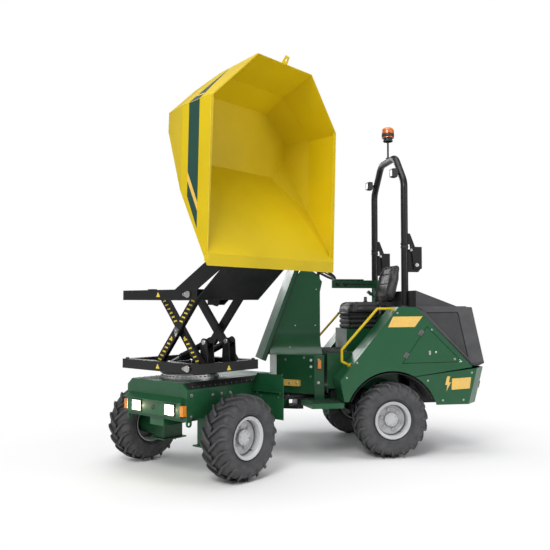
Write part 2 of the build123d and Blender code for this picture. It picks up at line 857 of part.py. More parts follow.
def arm(frame, face, bores):
    """Flat arm along the frame's x, bored at the given x, between y face and face - thickness."""
    with BuildSketch(upright(frame, face)) as outline:
        SlotCenterToCenter(arm_length, arm_depth)
        for x in bores:
            with Locations((x, 0)):
                Circle(arm_pin_radius + fit_gap, mode=Mode.SUBTRACT)
    extrude(outline.sketch, amount=arm_thick)


# arms that rise toward the back, hinged low at the pouring end
inner_frame = pitched(table, scissor_mid_u, 0, scissor_mid_z, -arm_angle)
with BuildPart() as scissor_inner:
    for side in (1, -1):
        arm(inner_frame, inner_arm_face if side == 1 else arm_thick - inner_arm_face, [0])
        pin = sorted((side * (inner_arm_face - arm_thick / 2), side * (half_width + 1)))
        round_bar(table, arm_pin_u, pin, lower_pin_z, arm_pin_radius)
        head = sorted((side * (half_width + 1), side * (half_width + 1 + arm_head_thick)))
        round_bar(table, arm_pin_u, head, lower_pin_z, arm_head_radius)
        stub = sorted((side * (inner_arm_face - 2), side * (roller_inner + 2)))
        round_bar(table, slider_u, stub, upper_pin_z, slide_shaft_radius)
        roller = sorted((side * roller_inner, side * roller_outer))
        round_bar(table, slider_u, roller, upper_pin_z, roller_radius)
    cross = inner_arm_face - arm_thick + 2
    round_bar(table, slider_u, (-cross, cross), upper_pin_z, slide_shaft_radius)
save(scissor_inner, "scissor_inner")

# arms that rise toward the pouring end, hinged high there
outer_frame = pitched(table, scissor_mid_u, 0, scissor_mid_z, arm_angle)
with BuildPart() as scissor_outer:
    for side in (1, -1):
        arm(outer_frame, outer_arm_face if side == 1 else arm_thick - outer_arm_face, [])
        pin = sorted((side * (outer_arm_face - arm_thick / 2), side * (half_width + 1)))
        round_bar(table, arm_pin_u, pin, upper_pin_z, arm_pin_radius)
        head = sorted((side * (half_width + 1), side * (half_width + 1 + arm_head_thick)))
        round_bar(table, arm_pin_u, head, upper_pin_z, arm_head_radius)
        mid = sorted((side * (inner_arm_face - arm_thick - 3), side * (outer_arm_face + mid_pin_head)))
        round_bar(table, scissor_mid_u, mid, scissor_mid_z, arm_pin_radius)
        stub = sorted((side * (outer_arm_face - 2), side * (roller_inner + 2)))
        round_bar(table, slider_u, stub, lower_pin_z, slide_shaft_radius)
        roller = sorted((side * roller_inner, side * roller_outer))
        round_bar(table, slider_u, roller, lower_pin_z, roller_radius)
    # the slide shaft, in three lengths between the rods' eyes
    cross = outer_arm_face - arm_thick + 2
    eye_reach = lift_eye_width / 2 + eye_side_gap
    for ends in ((-cross, -lift_side - eye_reach), (eye_reach - lift_side, lift_side - eye_reach),
                 (lift_side + eye_reach, cross)):
        round_bar(table, slider_u, ends, lower_pin_z, slide_shaft_radius)
save(scissor_outer, "scissor_outer")

# ================================================================ upper table with its tipping wedge
with BuildPart() as upper_table:
    table_frame(upper_frame_bottom_z, upper_frame_depth)
    # two rails that carry the foot of the tip cylinder
    rail_back_u = tip_foot_u - rail_end
    for side in (1, -1):
        face = rail_half_gap + rail_thick if side == 1 else -rail_half_gap
        with BuildSketch(upright(table, face)):
            Polygon((half_length - 2, upper_frame_bottom_z + 2), (half_length - 2, upper_frame_top_z - 2),
                    (rail_back_u, upper_frame_top_z - 2),
                    (rail_back_u, upper_frame_bottom_z - rail_hang),
                    (rail_back_u + rail_foot, upper_frame_bottom_z - rail_hang),
                    (rail_back_u + rail_foot + rail_slope, upper_frame_bottom_z + 2), align=None)
            with Locations((tip_foot_u, tip_foot_z)):
                Circle(tip_cross_pin_radius + fit_gap, mode=Mode.SUBTRACT)
        extrude(amount=rail_thick)
    round_bar(table, arm_pin_u, (-half_width - 1, half_width + 1), upper_pin_z,
              arm_pin_radius + fit_gap, Mode.SUBTRACT)
save(upper_table, "upper_table")

with BuildPart() as tip_wedge:
    for side in (1, -1):
        face = half_width if side == 1 else wedge_sheet - half_width
        with BuildSketch(upright(table, face)):
            Polygon((wedge_heel_u, upper_frame_top_z), (wedge_neck_u, wedge_neck_z),
                    (wedge_toe_u, tip_pin_z), (wedge_toe_u, wedge_toe_z),
                    (half_length, upper_frame_top_z), align=None)
            with Locations((tip_pin_u, tip_pin_z)):
                Circle(tip_boss_radius)
            with Locations((tip_pin_u, tip_pin_z)):
                Circle(tip_pin_radius + fit_gap, mode=Mode.SUBTRACT)
        extrude(amount=wedge_sheet)
    with BuildSketch(upright(table, half_width)):
        Polygon((half_length, upper_frame_bottom_z), (wedge_toe_u, wedge_toe_z),
                (wedge_toe_u - wedge_sheet, wedge_toe_z), (half_length, upper_frame_bottom_z + 16),
                align=None)
    extrude(amount=table_width)
save(tip_wedge, "tip_wedge")


# ================================================================ cylinders
def barrel_and_rod(frame, side_offsets, barrel, rod_radius, pin_radius, eye, length, pulled_out=0.0):
    """Barrel and rod along the frame's x, from the barrel's pin to the rod's eye."""
    barrel_radius, barrel_length, tail = barrel
    eye_radius, eye_width = eye
    rod_start = bore_end + side_gap + pulled_out
    with BuildPart() as barrels:
        for y in side_offsets:
            with BuildSketch(across(frame, -tail)):
                with Locations((y, 0)):
                    Circle(barrel_radius)
            extrude(amount=barrel_length + tail)
            with BuildSketch(across(frame, bore_end)):
                with Locations((y, 0)):
                    Circle(rod_radius + fit_gap)
            extrude(amount=barrel_length + tail, mode=Mode.SUBTRACT)
            reach = barrel_radius + side_gap + lug_plate
            round_bar(frame, 0, (y - reach, y - barrel_radius / 2), 0, pin_radius)
            round_bar(frame, 0, (y + barrel_radius / 2, y + reach), 0, pin_radius)
    with BuildPart() as rods:
        for y in side_offsets:
            with BuildSketch(across(frame, rod_start)):
                with Locations((y, 0)):
                    Circle(rod_radius)
            extrude(amount=length - rod_start)
            round_bar(frame, length, (y - eye_width / 2, y + eye_width / 2), 0, eye_radius)
    return barrels, rods


lift_run = slider_u - lift_pin_u
lift_fall = lower_pin_z - lift_pin_z
lift_angle = degrees(atan2(lift_fall, lift_run))
lift_frame = pitched(table, lift_pin_u, 0, lift_pin_z, lift_angle)
lift_barrels, lift_rods = barrel_and_rod(
    lift_frame, (-lift_side, lift_side), (lift_barrel_radius, lift_barrel_length, lift_tail),
    lift_rod_radius, lift_pin_radius, (lift_eye_radius, lift_eye_width),
    hypot(lift_run, lift_fall))
save(lift_barrels, "lift_barrels")
save(lift_rods, "lift_rods")

tip_eye = skip_frame.from_local_coords((tip_eye_x, 0, tip_eye_z))
tip_eye_local = table.to_local_coords(tip_eye)
tip_run = tip_eye_local.X - tip_foot_u
tip_fall = tip_eye_local.Z - tip_foot_z
tip_closed = hypot(tip_pin_u + tip_eye_x - tip_foot_u, tip_pin_z + tip_eye_z - tip_foot_z)
tip_frame = pitched(table, tip_foot_u, 0, tip_foot_z, degrees(atan2(tip_fall, tip_run)))
tip_barrel, tip_rod = barrel_and_rod(
    tip_frame, (0,), (tip_barrel_radius, tip_barrel_length, tip_tail), tip_rod_radius,
    tip_cross_pin_radius, (tip_eye_radius, 2 * (clevis_half_gap - tip_eye_gap)),
    hypot(tip_run, tip_fall), hypot(tip_run, tip_fall) - tip_closed)
save(tip_barrel, "tip_barrel")
save(tip_rod, "tip_rod")

# ================================================================ skip
def chute_z(x):
    """Height of the skip's pouring slope over the tip pin, skip level."""
    floor_front = skip_corners[6]
    return lip_z - (lip_x - x) * floor_front[2] / floor_front[0]


skip_outside = []
skip_inside = []
deepest_back = max(back for back, half, down in skip_corners)
for back, half, down in skip_corners:
    # the inside is moved in by the wall, and carried past the rim at the open top
    inside_back = back - skip_wall * back / deepest_back if back else 1.8 * skip_wall
    inside_down = -down - 60 if down < rim_bar_width else down - skip_wall
    for side in (1, -1):
        skip_outside.append(skip_frame.from_local_coords((lip_x - back, side * half, lip_z - down)))
        skip_inside.append(skip_frame.from_local_coords(
            (lip_x - inside_back, side * (half - skip_wall), lip_z - inside_down)))

with BuildPart() as skip:
    ConvexPolyhedron(skip_outside)
    ConvexPolyhedron(skip_inside, mode=Mode.SUBTRACT)
    # flat bar round the rim, outside the mouth
    for side in (1, -1):
        face = side * skip_half
        box(skip_frame, (lip_x - skip_bend[0], lip_x - 30), sorted((face, face - side * rim_bar_width)),
            (lip_z - skip_bend[2] - rim_bar_depth, lip_z - skip_bend[2]))
    # lugs of the tip pins
    for side in (1, -1):
        face = skip_lug_face if side == 1 else skip_lug_thick - skip_lug_face
        with BuildSketch(upright(skip_frame, face)):
            Polygon((-skip_lug_radius, 0), (-skip_lug_back, chute_z(-skip_lug_back) + skip_wall / 2),
                    (skip_lug_ahead, chute_z(skip_lug_ahead) + skip_wall / 2),
                    (skip_lug_radius, 0), align=None)
            Circle(skip_lug_radius)
        extrude(amount=skip_lug_thick)
        pin = sorted((side * (skip_lug_face - 1), side * (half_width + 4)))
        round_bar(skip_frame, 0, pin, 0, tip_pin_radius)
    # clevis of the tip cylinder's rod
    for side in (1, -1):
        face = clevis_half_gap + clevis_thick if side == 1 else -clevis_half_gap
        root_back, root_ahead = tip_eye_x - clevis_back, tip_eye_x + clevis_ahead
        with BuildSketch(upright(skip_frame, face)):
            with Locations((tip_eye_x, tip_eye_z)):
                Circle(tip_eye_radius)
            Polygon((tip_eye_x - tip_eye_radius, tip_eye_z),
                    (root_back, chute_z(root_back) + skip_wall / 2),
                    (root_ahead, chute_z(root_ahead) + skip_wall / 2),
                    (tip_eye_x + tip_eye_radius, tip_eye_z), align=None)
        extrude(amount=clevis_thick)
        pin = sorted((side * clevis_half_gap, side * (clevis_half_gap + clevis_thick + pin_head)))
        round_bar(skip_frame, tip_eye_x, pin, tip_eye_z, tip_cross_pin_radius)
    # lifting eye on the back rim
    back_rim = skip_corners[2]
    with BuildSketch(upright(skip_frame, lift_eye_plate / 2)):
        Polygon((lip_x - back_rim[0] + 12, lip_z - back_rim[2] - 70),
                (lip_x - back_rim[0] + 3, lip_z - back_rim[2] + 6),
                (lip_x - back_rim[0] - 52, lip_z - back_rim[2] + 29),
                (lip_x - back_rim[0] - 74, lip_z - back_rim[2] - 3), align=None)
        with Locations((lip_x - back_rim[0] - lift_eye_back, lip_z - back_rim[2] - lift_eye_drop)):
            Circle(lift_eye_bore, mode=Mode.SUBTRACT)
    extrude(amount=lift_eye_plate)
    # wear block under the lip
    with BuildSketch(upright(skip_frame, lip_block_half)):
        block_back = lip_x - lip_block_length
        Polygon((lip_x - 6, lip_z - 4), (block_back, chute_z(block_back) + skip_wall / 2),
                (block_back, chute_z(block_back) - lip_block_depth),
                (lip_x - 6, lip_z - lip_block_depth - 4), align=None)
    extrude(amount=2 * lip_block_half)
save(skip, "skip")

# ================================================================ rear half
with BuildPart() as rear_chassis:
    # closed box beam, with the fork of the centre pivot at its nose
    for inset, mode in ((0, Mode.ADD), (chassis_sheet, Mode.SUBTRACT)):
        wide, nose = chassis_half - inset, chassis_nose_half - inset
        with BuildSketch(level(rear, chassis_bottom_z + inset)):
            Polygon((chassis_back_x + inset, wide), (chassis_taper_x, wide),
                    (chassis_front_x - inset, nose), (chassis_front_x - inset, -nose),
                    (chassis_taper_x, -wide), (chassis_back_x + inset, -wide), align=None)
        extrude(amount=chassis_top_z - chassis_bottom_z - 2 * inset, mode=mode)
    for low in (beam_bottom_z - side_gap - fork_plate, beam_top_z + side_gap):
        with BuildSketch(level(rear, low)):
            Polygon((chassis_front_x + 2, pivot_boss_radius + 40), (0, pivot_boss_radius - 22),
                    (0, 22 - pivot_boss_radius), (chassis_front_x + 2, -pivot_boss_radius - 40),
                    (chassis_front_x - 60, -pivot_boss_radius - 40),
                    (chassis_front_x - 60, pivot_boss_radius + 40), align=None)
            Circle(pivot_boss_radius - 12)
        extrude(amount=fork_plate)
    box(rear, (chassis_front_x - 60, chassis_front_x + 2), (-pivot_boss_radius - 40, pivot_boss_radius + 40),
        (beam_bottom_z - side_gap - fork_plate, chassis_top_z - 2))
    with BuildSketch(level(rear, beam_bottom_z - side_gap - fork_plate - 6)):
        Circle(pivot_pin_radius)
    extrude(amount=beam_top_z - beam_bottom_z + 2 * (side_gap + fork_plate + 6))
    # ears of the steering cylinder's foot
    for low in (steer_z - steer_barrel_radius - side_gap - lug_plate,
                steer_z + steer_barrel_radius + side_gap):
        with BuildSketch(level(rear, low)):
            Polygon((steer_foot_x - steer_ear_root, chassis_half - chassis_sheet / 2),
                    (steer_foot_x + steer_ear_root, chassis_half - chassis_sheet / 2),
                    (steer_foot_x + steer_ear_radius, steer_foot_y),
                    (steer_foot_x - steer_ear_radius, steer_foot_y), align=None)
            with Locations((steer_foot_x, steer_foot_y)):
                Circle(steer_ear_radius)
                Circle(steer_pin_radius + fit_gap, mode=Mode.SUBTRACT)
        extrude(amount=lug_plate)
    # towing jaws at the tail
    for low in (tow_jaw_z, tow_jaw_z + tow_jaw + tow_jaw_gap):
        with BuildSketch(level(rear, low)):
            with Locations(((chassis_back_x + tow_pin_x) / 2, 0)):
                Rectangle(chassis_back_x - tow_pin_x, 110)
            with Locations((tow_pin_x, 0)):
                Circle(tow_jaw_radius)
                Circle(tow_pin_bore, mode=Mode.SUBTRACT)
        extrude(amount=tow_jaw)
save(rear_chassis, "rear_chassis")

with BuildPart() as rear_axle:
    axle_legs(rear, -rear_axle_x, chassis_top_z)
save(rear_axle, "rear_axle")

with BuildPart() as tower_base:
    plan = [(base_front_x, base_front_half), (base_side_x, base_side_y), (base_back_x, base_side_y)]
    plan += [(x, -y) for x, y in reversed(plan)]
    with BuildSketch(level(rear, base_bottom_z)):
        Polygon(*plan, align=None)
    extrude(amount=base_top_z - base_bottom_z)
    bottom = tower_base.faces().sort_by(Axis.Z)[0]
    back = tower_base.faces().sort_by(Axis.X)[0]
    offset(amount=-base_sheet, openings=[bottom, back])
save(tower_base, "tower_base")

with BuildPart() as tower_shield:
    slope = degrees(atan2(shield_head_z - shield_foot_z, shield_head_x - shield_foot_x))
    shield_length = hypot(shield_head_z - shield_foot_z, shield_head_x - shield_foot_x)
    shield = pitched(rear, shield_foot_x, 0, shield_foot_z, slope)
    box(shield, (0, shield_length), (-shield_half, shield_half), (-shield_sheet, 0))
    for side in (1, -1):
        box(shield, (0, shield_length),
            sorted((side * shield_half, side * (shield_half - shield_sheet))), (0, shield_flange))
save(tower_shield, "tower_shield")

dial = pitched(rear, wheel_x, 0, wheel_z, wheel_tilt)
with BuildPart() as tower_column:
    run = (shield_head_x - shield_foot_x) / (shield_head_z - shield_foot_z)

    def behind_shield(z):
        """Column's front face at a height, just behind the shield's sheet."""
        return shield_foot_x + run * (z - shield_foot_z) - column_front_inset

    with BuildSketch(upright(rear, column_foot_half)):
        Polygon((behind_shield(base_top_z), base_top_z), (behind_shield(column_top_z), column_top_z),
                (column_back_x, column_top_z), (column_back_x, base_top_z), align=None)
    extrude(amount=2 * column_foot_half)
    # waisted sides seen from ahead
    with BuildSketch(across(rear, column_back_x - 1)):
        with BuildLine():
            Line((-column_foot_half, base_top_z), (column_foot_half, base_top_z))
            for side in (1, -1):
                ThreePointArc((side * column_foot_half, base_top_z),
                              (side * column_flare_half, column_flare_z),
                              (side * column_waist_half, column_waist_z))
                Line((side * column_waist_half, column_waist_z), (side * column_top_half, column_top_z))
            Line((column_top_half, column_top_z), (-column_top_half, column_top_z))
        make_face()
    extrude(amount=behind_shield(base_top_z) - column_back_x + 2, mode=Mode.INTERSECT)
    # head that carries the steering column
    with BuildSketch(upright(rear, head_half)):
        Polygon((behind_shield(column_top_z) - 2, column_top_z - 4),
                (behind_shield(head_high_z), head_high_z - 60),
                (behind_shield(head_high_z) - 60, head_high_z), (head_back_x + 40, column_top_z + 20),
                (head_back_x - 20, column_top_z - 60), (column_back_x - 6, head_low_z),
                (column_back_x + 20, head_low_z), align=None)
    extrude(amount=2 * head_half)
    with BuildSketch(level(dial, -shaft_length)):
        Circle(shaft_radius)
    extrude(amount=shaft_length, mode=Mode.SUBTRACT)
    # hollow inside, open to the base
    with BuildSketch(upright(rear, column_waist_half - column_wall)):
        Polygon((behind_shield(base_top_z) - 14, base_top_z), (behind_shield(1560) - 14, 1560),
                (column_back_x + column_wall, 1560), (column_back_x + column_wall, base_top_z),
                align=None)
    extrude(amount=2 * (column_waist_half - column_wall), mode=Mode.SUBTRACT)
save(tower_column, "tower_column")

with BuildPart() as steering_wheel:
    with BuildSketch(upright(dial)):
        with Locations((wheel_radius, 0)):
            Circle(wheel_grip)
    revolve(axis=Axis(dial.origin, dial.z_dir))
    with BuildSketch(level(dial, -22)):
        Circle(wheel_hub_radius)
    extrude(amount=34)
    with BuildSketch(level(dial, -9)):
        with PolarLocations(wheel_radius / 2, 3, start_angle=30):
            Rectangle(wheel_radius, 26)
    extrude(amount=12)
    with BuildSketch(level(dial, -shaft_length)):
        Circle(shaft_radius)
    extrude(amount=shaft_length)
save(steering_wheel, "steering_wheel")

with BuildPart() as platform:
    box(rear, (platform_back_x, platform_front_x), (-platform_half, platform_half),
        (platform_z - platform_sheet, platform_z))
    # bulkhead behind the seat
    box(rear, (platform_back_x - bulkhead_depth, platform_back_x), (-platform_half, platform_half),
        (platform_z - platform_sheet, bulkhead_top_z))
    for side in (1, -1):
        box(rear, (platform_back_x, platform_front_x),
            sorted((side * platform_half, side * (platform_half - 10))),
            (chassis_top_z + cross_member, platform_z - platform_sheet))
    box(rear, (platform_front_x - 10, platform_front_x), (-platform_half + 10, platform_half - 10),
        (chassis_top_z, platform_z - platform_sheet))
save(platform, "platform")

with BuildPart() as side_steps:
    for side in (1, -1):
        with BuildSketch(level(rear, step_z - step_depth)):
            Polygon((step_front_inner_x, side * step_root_y), (step_front_x, side * base_side_y),
                    (step_front_x - 40, side * step_y), (step_back_x, side * step_y),
                    (step_back_x, side * step_root_y), align=None)
        extrude(amount=step_depth)
        # gusset up to the tower's base
        box(rear, (base_back_x, base_side_x), sorted((side * base_side_y, side * (base_side_y + 8))),
            (step_z, base_bottom_z + 60))
        step_low_z = step_z - step_depth
        box(rear, (tow_ring_x - tow_ring_radius, tow_ring_x + tow_ring_radius),
            sorted((side * tow_ring_y, side * (tow_ring_y - tow_ring_thick))),
            (step_low_z - tow_ring_drop + tow_ring_bore + side_gap, step_low_z))
        with BuildSketch(upright(rear, tow_ring_y if side == 1 else tow_ring_thick - tow_ring_y)):
            with Locations((tow_ring_x, step_low_z - tow_ring_drop)):
                Circle(tow_ring_radius)
                Circle(tow_ring_bore, mode=Mode.SUBTRACT)
        extrude(amount=tow_ring_thick)
save(side_steps, "side_steps")

# side panels: outer sheet with its wheel arch, capped along the slopes, and an inner wall
side_outline = [
    (side_front_low_x, side_bottom_z), (side_front_x, side_knee_z),
    (side_top_front_x, side_top_z), (side_top_back_x, side_top_z),
    (side_rear_x, side_rear_z), (seam_front_x, seam_front_z), (seam_front_x, side_bottom_z),
]
slope = (side_top_front_x - side_front_x) / (side_top_z - side_knee_z)
inner_low_z = platform_z - platform_sheet
inner_front_x = side_front_x + slope * (inner_low_z - side_knee_z)
rear_slope = (side_rear_x - side_top_back_x) / (side_rear_z - side_top_z)
inner_back_x = side_top_back_x + rear_slope * (inner_low_z - side_top_z)
door_outline = [(door_front_x, door_low_z), (door_top_x, door_top_z), (door_back_x, door_back_z)]
for name, side in (("left", 1), ("right", -1)):
    with BuildPart() as side_panel:
        with BuildSketch(upright(rear, side * side_y)):
            Polygon(*side_outline, align=None)
            with Locations((-rear_axle_x, tyre_radius)):
                Circle(arch_radius, mode=Mode.SUBTRACT)
            if side == 1:
                with BuildLine():
                    Polyline(*door_outline, close=True)
                make_face(mode=Mode.SUBTRACT)
        extrude(amount=side * side_sheet_thick)
        with BuildSketch(upright(rear, side * (side_y - side_sheet_thick / 2))):
            with BuildLine():
                Polyline(*side_outline[:4])
                offset(amount=side_sheet_thick, side=Side.RIGHT)
            make_face()
        extrude(amount=side * (side_y - inner_wall_y - side_sheet_thick / 2))
        with BuildSketch(upright(rear, side * (inner_wall_y + side_sheet_thick))):
            Polygon((inner_front_x, inner_low_z), (side_top_front_x, side_top_z),
                    (side_top_back_x, side_top_z), (inner_back_x, inner_low_z), align=None)
        extrude(amount=side * side_sheet_thick)
        # the roll bar's leg passes through the cap
        with BuildSketch(level(rear, side_top_z - 20)):
            with Locations((rops_x, side * rops_leg_y)):
                Circle(rops_radius + 1)
        extrude(amount=40, mode=Mode.SUBTRACT)
    save(side_panel, f"side_panel_{name}")

with BuildPart() as rear_bumper:
    for side in (1, -1):
        with BuildSketch(upright(rear, side * side_y)):
            Polygon((seam_front_x, seam_front_z - seam_gap), (tail_corner_x, tail_top_z - seam_gap),
                    (tail_corner_x + tail_rake, tail_bottom_z), (tail_front_x, tail_bottom_z),
                    align=None)
            with Locations((-rear_axle_x, tyre_radius)):
                Circle(arch_radius, mode=Mode.SUBTRACT)
        extrude(amount=side * side_sheet_thick)
    for z, shift in ((tail_bottom_z, tail_rake), (tail_top_z - seam_gap, 0)):
        with BuildSketch(level(rear, z)):
            with BuildLine():
                Polyline((tail_corner_x + shift, side_y), (tail_x + shift, tail_corner_y),
                         (tail_x + shift, -tail_corner_y), (tail_corner_x + shift, -side_y))
                offset(amount=tail_sheet, side=Side.LEFT)
            make_face()
    loft()
    # opening for the towing jaws
    with BuildSketch(across(rear, tail_x - 20)):
        with Locations((0, tow_jaw_z + 50)):
            Rectangle(130, 120)
    extrude(amount=200, mode=Mode.SUBTRACT)
    # ears and pins of the hood's hinge
    def in_tail_sheet(z):
        """Middle of the tail sheet at a height."""
        return tail_x + tail_sheet / 2 + tail_rake * (tail_top_z - z) / (tail_top_z - tail_bottom_z)

    ear_back, ear_front = hood_hinge_x - hood_ear_half, hood_hinge_x + hood_ear_half
    foot_z, root_z = hood_hinge_z - hood_ear_foot, hood_hinge_z - hood_ear_root
    for middle in (-hood_hinge_y, hood_hinge_y):
        reach = hood_knuckle_half + side_gap
        for ends in ((middle - reach - hood_ear_thick, middle - reach),
                     (middle + reach, middle + reach + hood_ear_thick)):
            with BuildSketch(upright(rear, ends[1])):
                Polygon((in_tail_sheet(foot_z), foot_z), (in_tail_sheet(root_z), root_z),
                        (ear_back, hood_hinge_z - hood_ear_half), (ear_back, hood_hinge_z),
                        (ear_front, hood_hinge_z), (ear_front, root_z), align=None)
                with Locations((hood_hinge_x, hood_hinge_z)):
                    Circle(hood_ear_half)
            extrude(amount=hood_ear_thick)
        reach += hood_ear_thick
        round_bar(rear, hood_hinge_x, (middle - reach, middle + reach), hood_hinge_z, hood_pin_radius)
save(rear_bumper, "rear_bumper")

with BuildPart() as wheel_liners:
    for side in (1, -1):
        with BuildSketch(upright(rear, side * (side_y - side_sheet_thick))):
            with Locations((-rear_axle_x, tyre_radius)):
                Circle(liner_radius + liner_sheet)
                Circle(liner_radius, mode=Mode.SUBTRACT)
            with Locations((-rear_axle_x, side_bottom_z - liner_radius)):
                Rectangle(3 * liner_radius, 2 * liner_radius, mode=Mode.SUBTRACT)
        extrude(amount=side * (side_y - side_sheet_thick - inner_wall_y))
save(wheel_liners, "wheel_liners")

with BuildPart() as battery_block:
    box(rear, (battery_back_x, battery_front_x), (-battery_half, battery_half),
        (battery_bottom_z, battery_top_z))
    box(rear, (battery_back_x, battery_front_x), (-chassis_half, chassis_half),
        (chassis_top_z, battery_bottom_z))
save(battery_block, "battery_block")

# ================================================================ seat
with BuildPart() as seat_box:
    box(rear, (seat_box_back_x, seat_box_front_x), (-seat_box_half, seat_box_half),
        (platform_z, seat_box_top_z))
    offset(amount=-seat_box_sheet, openings=seat_box.faces().sort_by(Axis.Z)[0])
save(seat_box, "seat_box")

rib_pitch = (bellows_top_z - seat_box_top_z) / bellows_ribs
with BuildPart() as seat_bellows:
    box(rear, (seat_box_back_x + 40, seat_box_front_x - 40), (-bellows_half, bellows_half),
        (seat_box_top_z, bellows_top_z))
    for rib in range(bellows_ribs):
        low = seat_box_top_z + rib * rib_pitch + rib_pitch / 4
        box(rear, (seat_box_back_x + 40 - bellows_rib_depth, seat_box_front_x - 40 + bellows_rib_depth),
            (-bellows_half - bellows_rib_depth, bellows_half + bellows_rib_depth),
            (low, low + rib_pitch / 2))
    box(rear, (cushion_back_x + 40, cushion_front_x - 20), (-bellows_half, bellows_half),
        (bellows_top_z, bellows_top_z + seat_pan_thick))
save(seat_bellows, "seat_bellows")

cushion_low_z = bellows_top_z + seat_pan_thick
with BuildPart() as seat_cushion:
    with BuildSketch(level(rear, cushion_low_z)):
        with Locations(((cushion_back_x + cushion_front_x) / 2, 0)):
            RectangleRounded(cushion_front_x - cushion_back_x, 2 * seat_half, 60)
    extrude(amount=cushion_thick)
save(seat_cushion, "seat_cushion")

with BuildPart() as seat_backrest:
    back_frame = pitched(rear, back_foot_x, 0, back_foot_z, back_lean)
    with BuildSketch(across(back_frame, -back_thick)):
        with Locations((0, back_height / 2)):
            RectangleRounded(2 * seat_half - 20, back_height, 70)
    extrude(amount=back_thick)
save(seat_backrest, "seat_backrest")

with BuildPart() as control_arm:
    face = arm_bar_y + arm_bar_thick / 2
    with BuildSketch(upright(rear, face)):
        Polygon((arm_bar_front_x, arm_bar_bottom_z), (arm_bar_front_x, arm_bar_top_z),
                (arm_bar_back_x, arm_bar_top_z), (arm_bar_back_x, bulkhead_top_z),
                (arm_bar_back_x + arm_drop_width, bulkhead_top_z),
                (arm_bar_back_x + arm_drop_width, arm_bar_bottom_z), align=None)
    extrude(amount=arm_bar_thick)
    knob_z = (arm_bar_bottom_z + arm_bar_top_z) / 2
    for count in range(2):
        round_bar(rear, arm_bar_front_x - 61 - count * knob_pitch, (face - 1, face + knob_length),
                  knob_z, knob_radius)
    lever = pitched(rear, arm_bar_back_x + arm_drop_width - 2, arm_bar_y, 1528, 40)
    box(lever, (0, 46), (-8, 8), (-8, 8))
    box(lever, (40, 96), (-20, 20), (-15, 15))
save(control_arm, "control_arm")

# handrails: foot, out, up, along the slope, over, back down
rail_line = [(-556, 868), (-480, 905), (-480, 1015), (-835, 1405), (-962, 1405), (-998, 1394)]
with BuildPart() as handrails:
    for side in (1, -1):
        with BuildLine(upright(rear, side * rail_y)) as rail_path:
            FilletPolyline(*rail_line, radius=rail_bend)
        with BuildSketch(Plane(origin=rail_path.line @ 0, z_dir=rail_path.line % 0)):
            Circle(rail_radius)
        sweep(path=rail_path.line)
        # ends sit on the side's cap
        with BuildSketch(upright(rear, side * rail_y + 2 * rail_radius)):
            Polygon(*side_outline[:4], (side_top_back_x, side_bottom_z), align=None)
            offset(amount=side_sheet_thick, kind=Kind.INTERSECTION)
        extrude(amount=4 * rail_radius, mode=Mode.SUBTRACT)
save(handrails, "handrails")

with BuildPart() as lock_bar:
    along = Plane(origin=rear.from_local_coords((base_front_x, base_front_half, 0)),
                  x_dir=(base_side_x - base_front_x, base_side_y - base_front_half, 0),
                  z_dir=(0, 0, 1))
    box(along, (lock_bar_start, lock_bar_end), (-lock_bar_depth, 0), (lock_bar_low_z, lock_bar_high_z))
save(lock_bar, "lock_bar")

tail_mid_z = (tail_top_z - seam_gap + tail_bottom_z) / 2
tail_lean = degrees(atan2(tail_rake, tail_top_z - seam_gap - tail_bottom_z))
tail = pitched(rear, tail_x + tail_rake / 2, 0, tail_mid_z, tail_lean)
with BuildPart() as rear_lamps:
    for side in (1, -1):
        box(rear, (base_back_x + base_lamp_start, base_back_x + base_lamp_end),
            sorted((side * base_side_y, side * (base_side_y + base_lamp_depth))),
            (base_lamp_low_z, base_lamp_high_z))
        box(tail, (-tail_lamp_depth, 0),
            (side * tail_lamp_y - tail_lamp_half, side * tail_lamp_y + tail_lamp_half),
            (-tail_lamp_rise, tail_lamp_rise))
save(rear_lamps, "rear_lamps")

# ================================================================ roll bar
with BuildPart() as rops_posts:
    box(rear, (rops_x - rops_beam_half, rops_x + rops_beam_half), (-rops_leg_y - beam_overhang, rops_leg_y + beam_overhang),
        (rops_beam_low_z, rops_beam_high_z))
    for side in (1, -1):
        with BuildSketch(level(rear, rops_beam_high_z)):
            with Locations((rops_x, side * rops_leg_y)):
                Circle(rops_radius)
        extrude(amount=rops_joint_z - rops_joint_gap - rops_beam_high_z)
        box(rear, (rops_x - rops_beam_half, rops_x + rops_beam_half),
            sorted((side * (chassis_half - 60), side * chassis_half)), (chassis_top_z, rops_beam_low_z))
        with BuildSketch(upright(rear, side * rops_leg_y + hinge_plate / 2)):
            low, top = rops_pin_z - fold_below, rops_joint_z - fold_top_drop
            Polygon((rops_x - fold_root, low), (rops_x - fold_reach + fold_corner, low),
                    (rops_x - fold_reach, low + fold_cut), (rops_x - fold_reach, top),
                    (rops_x - fold_root, top), align=None)
            with Locations((rops_pin_x, rops_pin_z)):
                Circle(rops_pin_radius + fit_gap, mode=Mode.SUBTRACT)
        extrude(amount=hinge_plate)
save(rops_posts, "rops_posts")

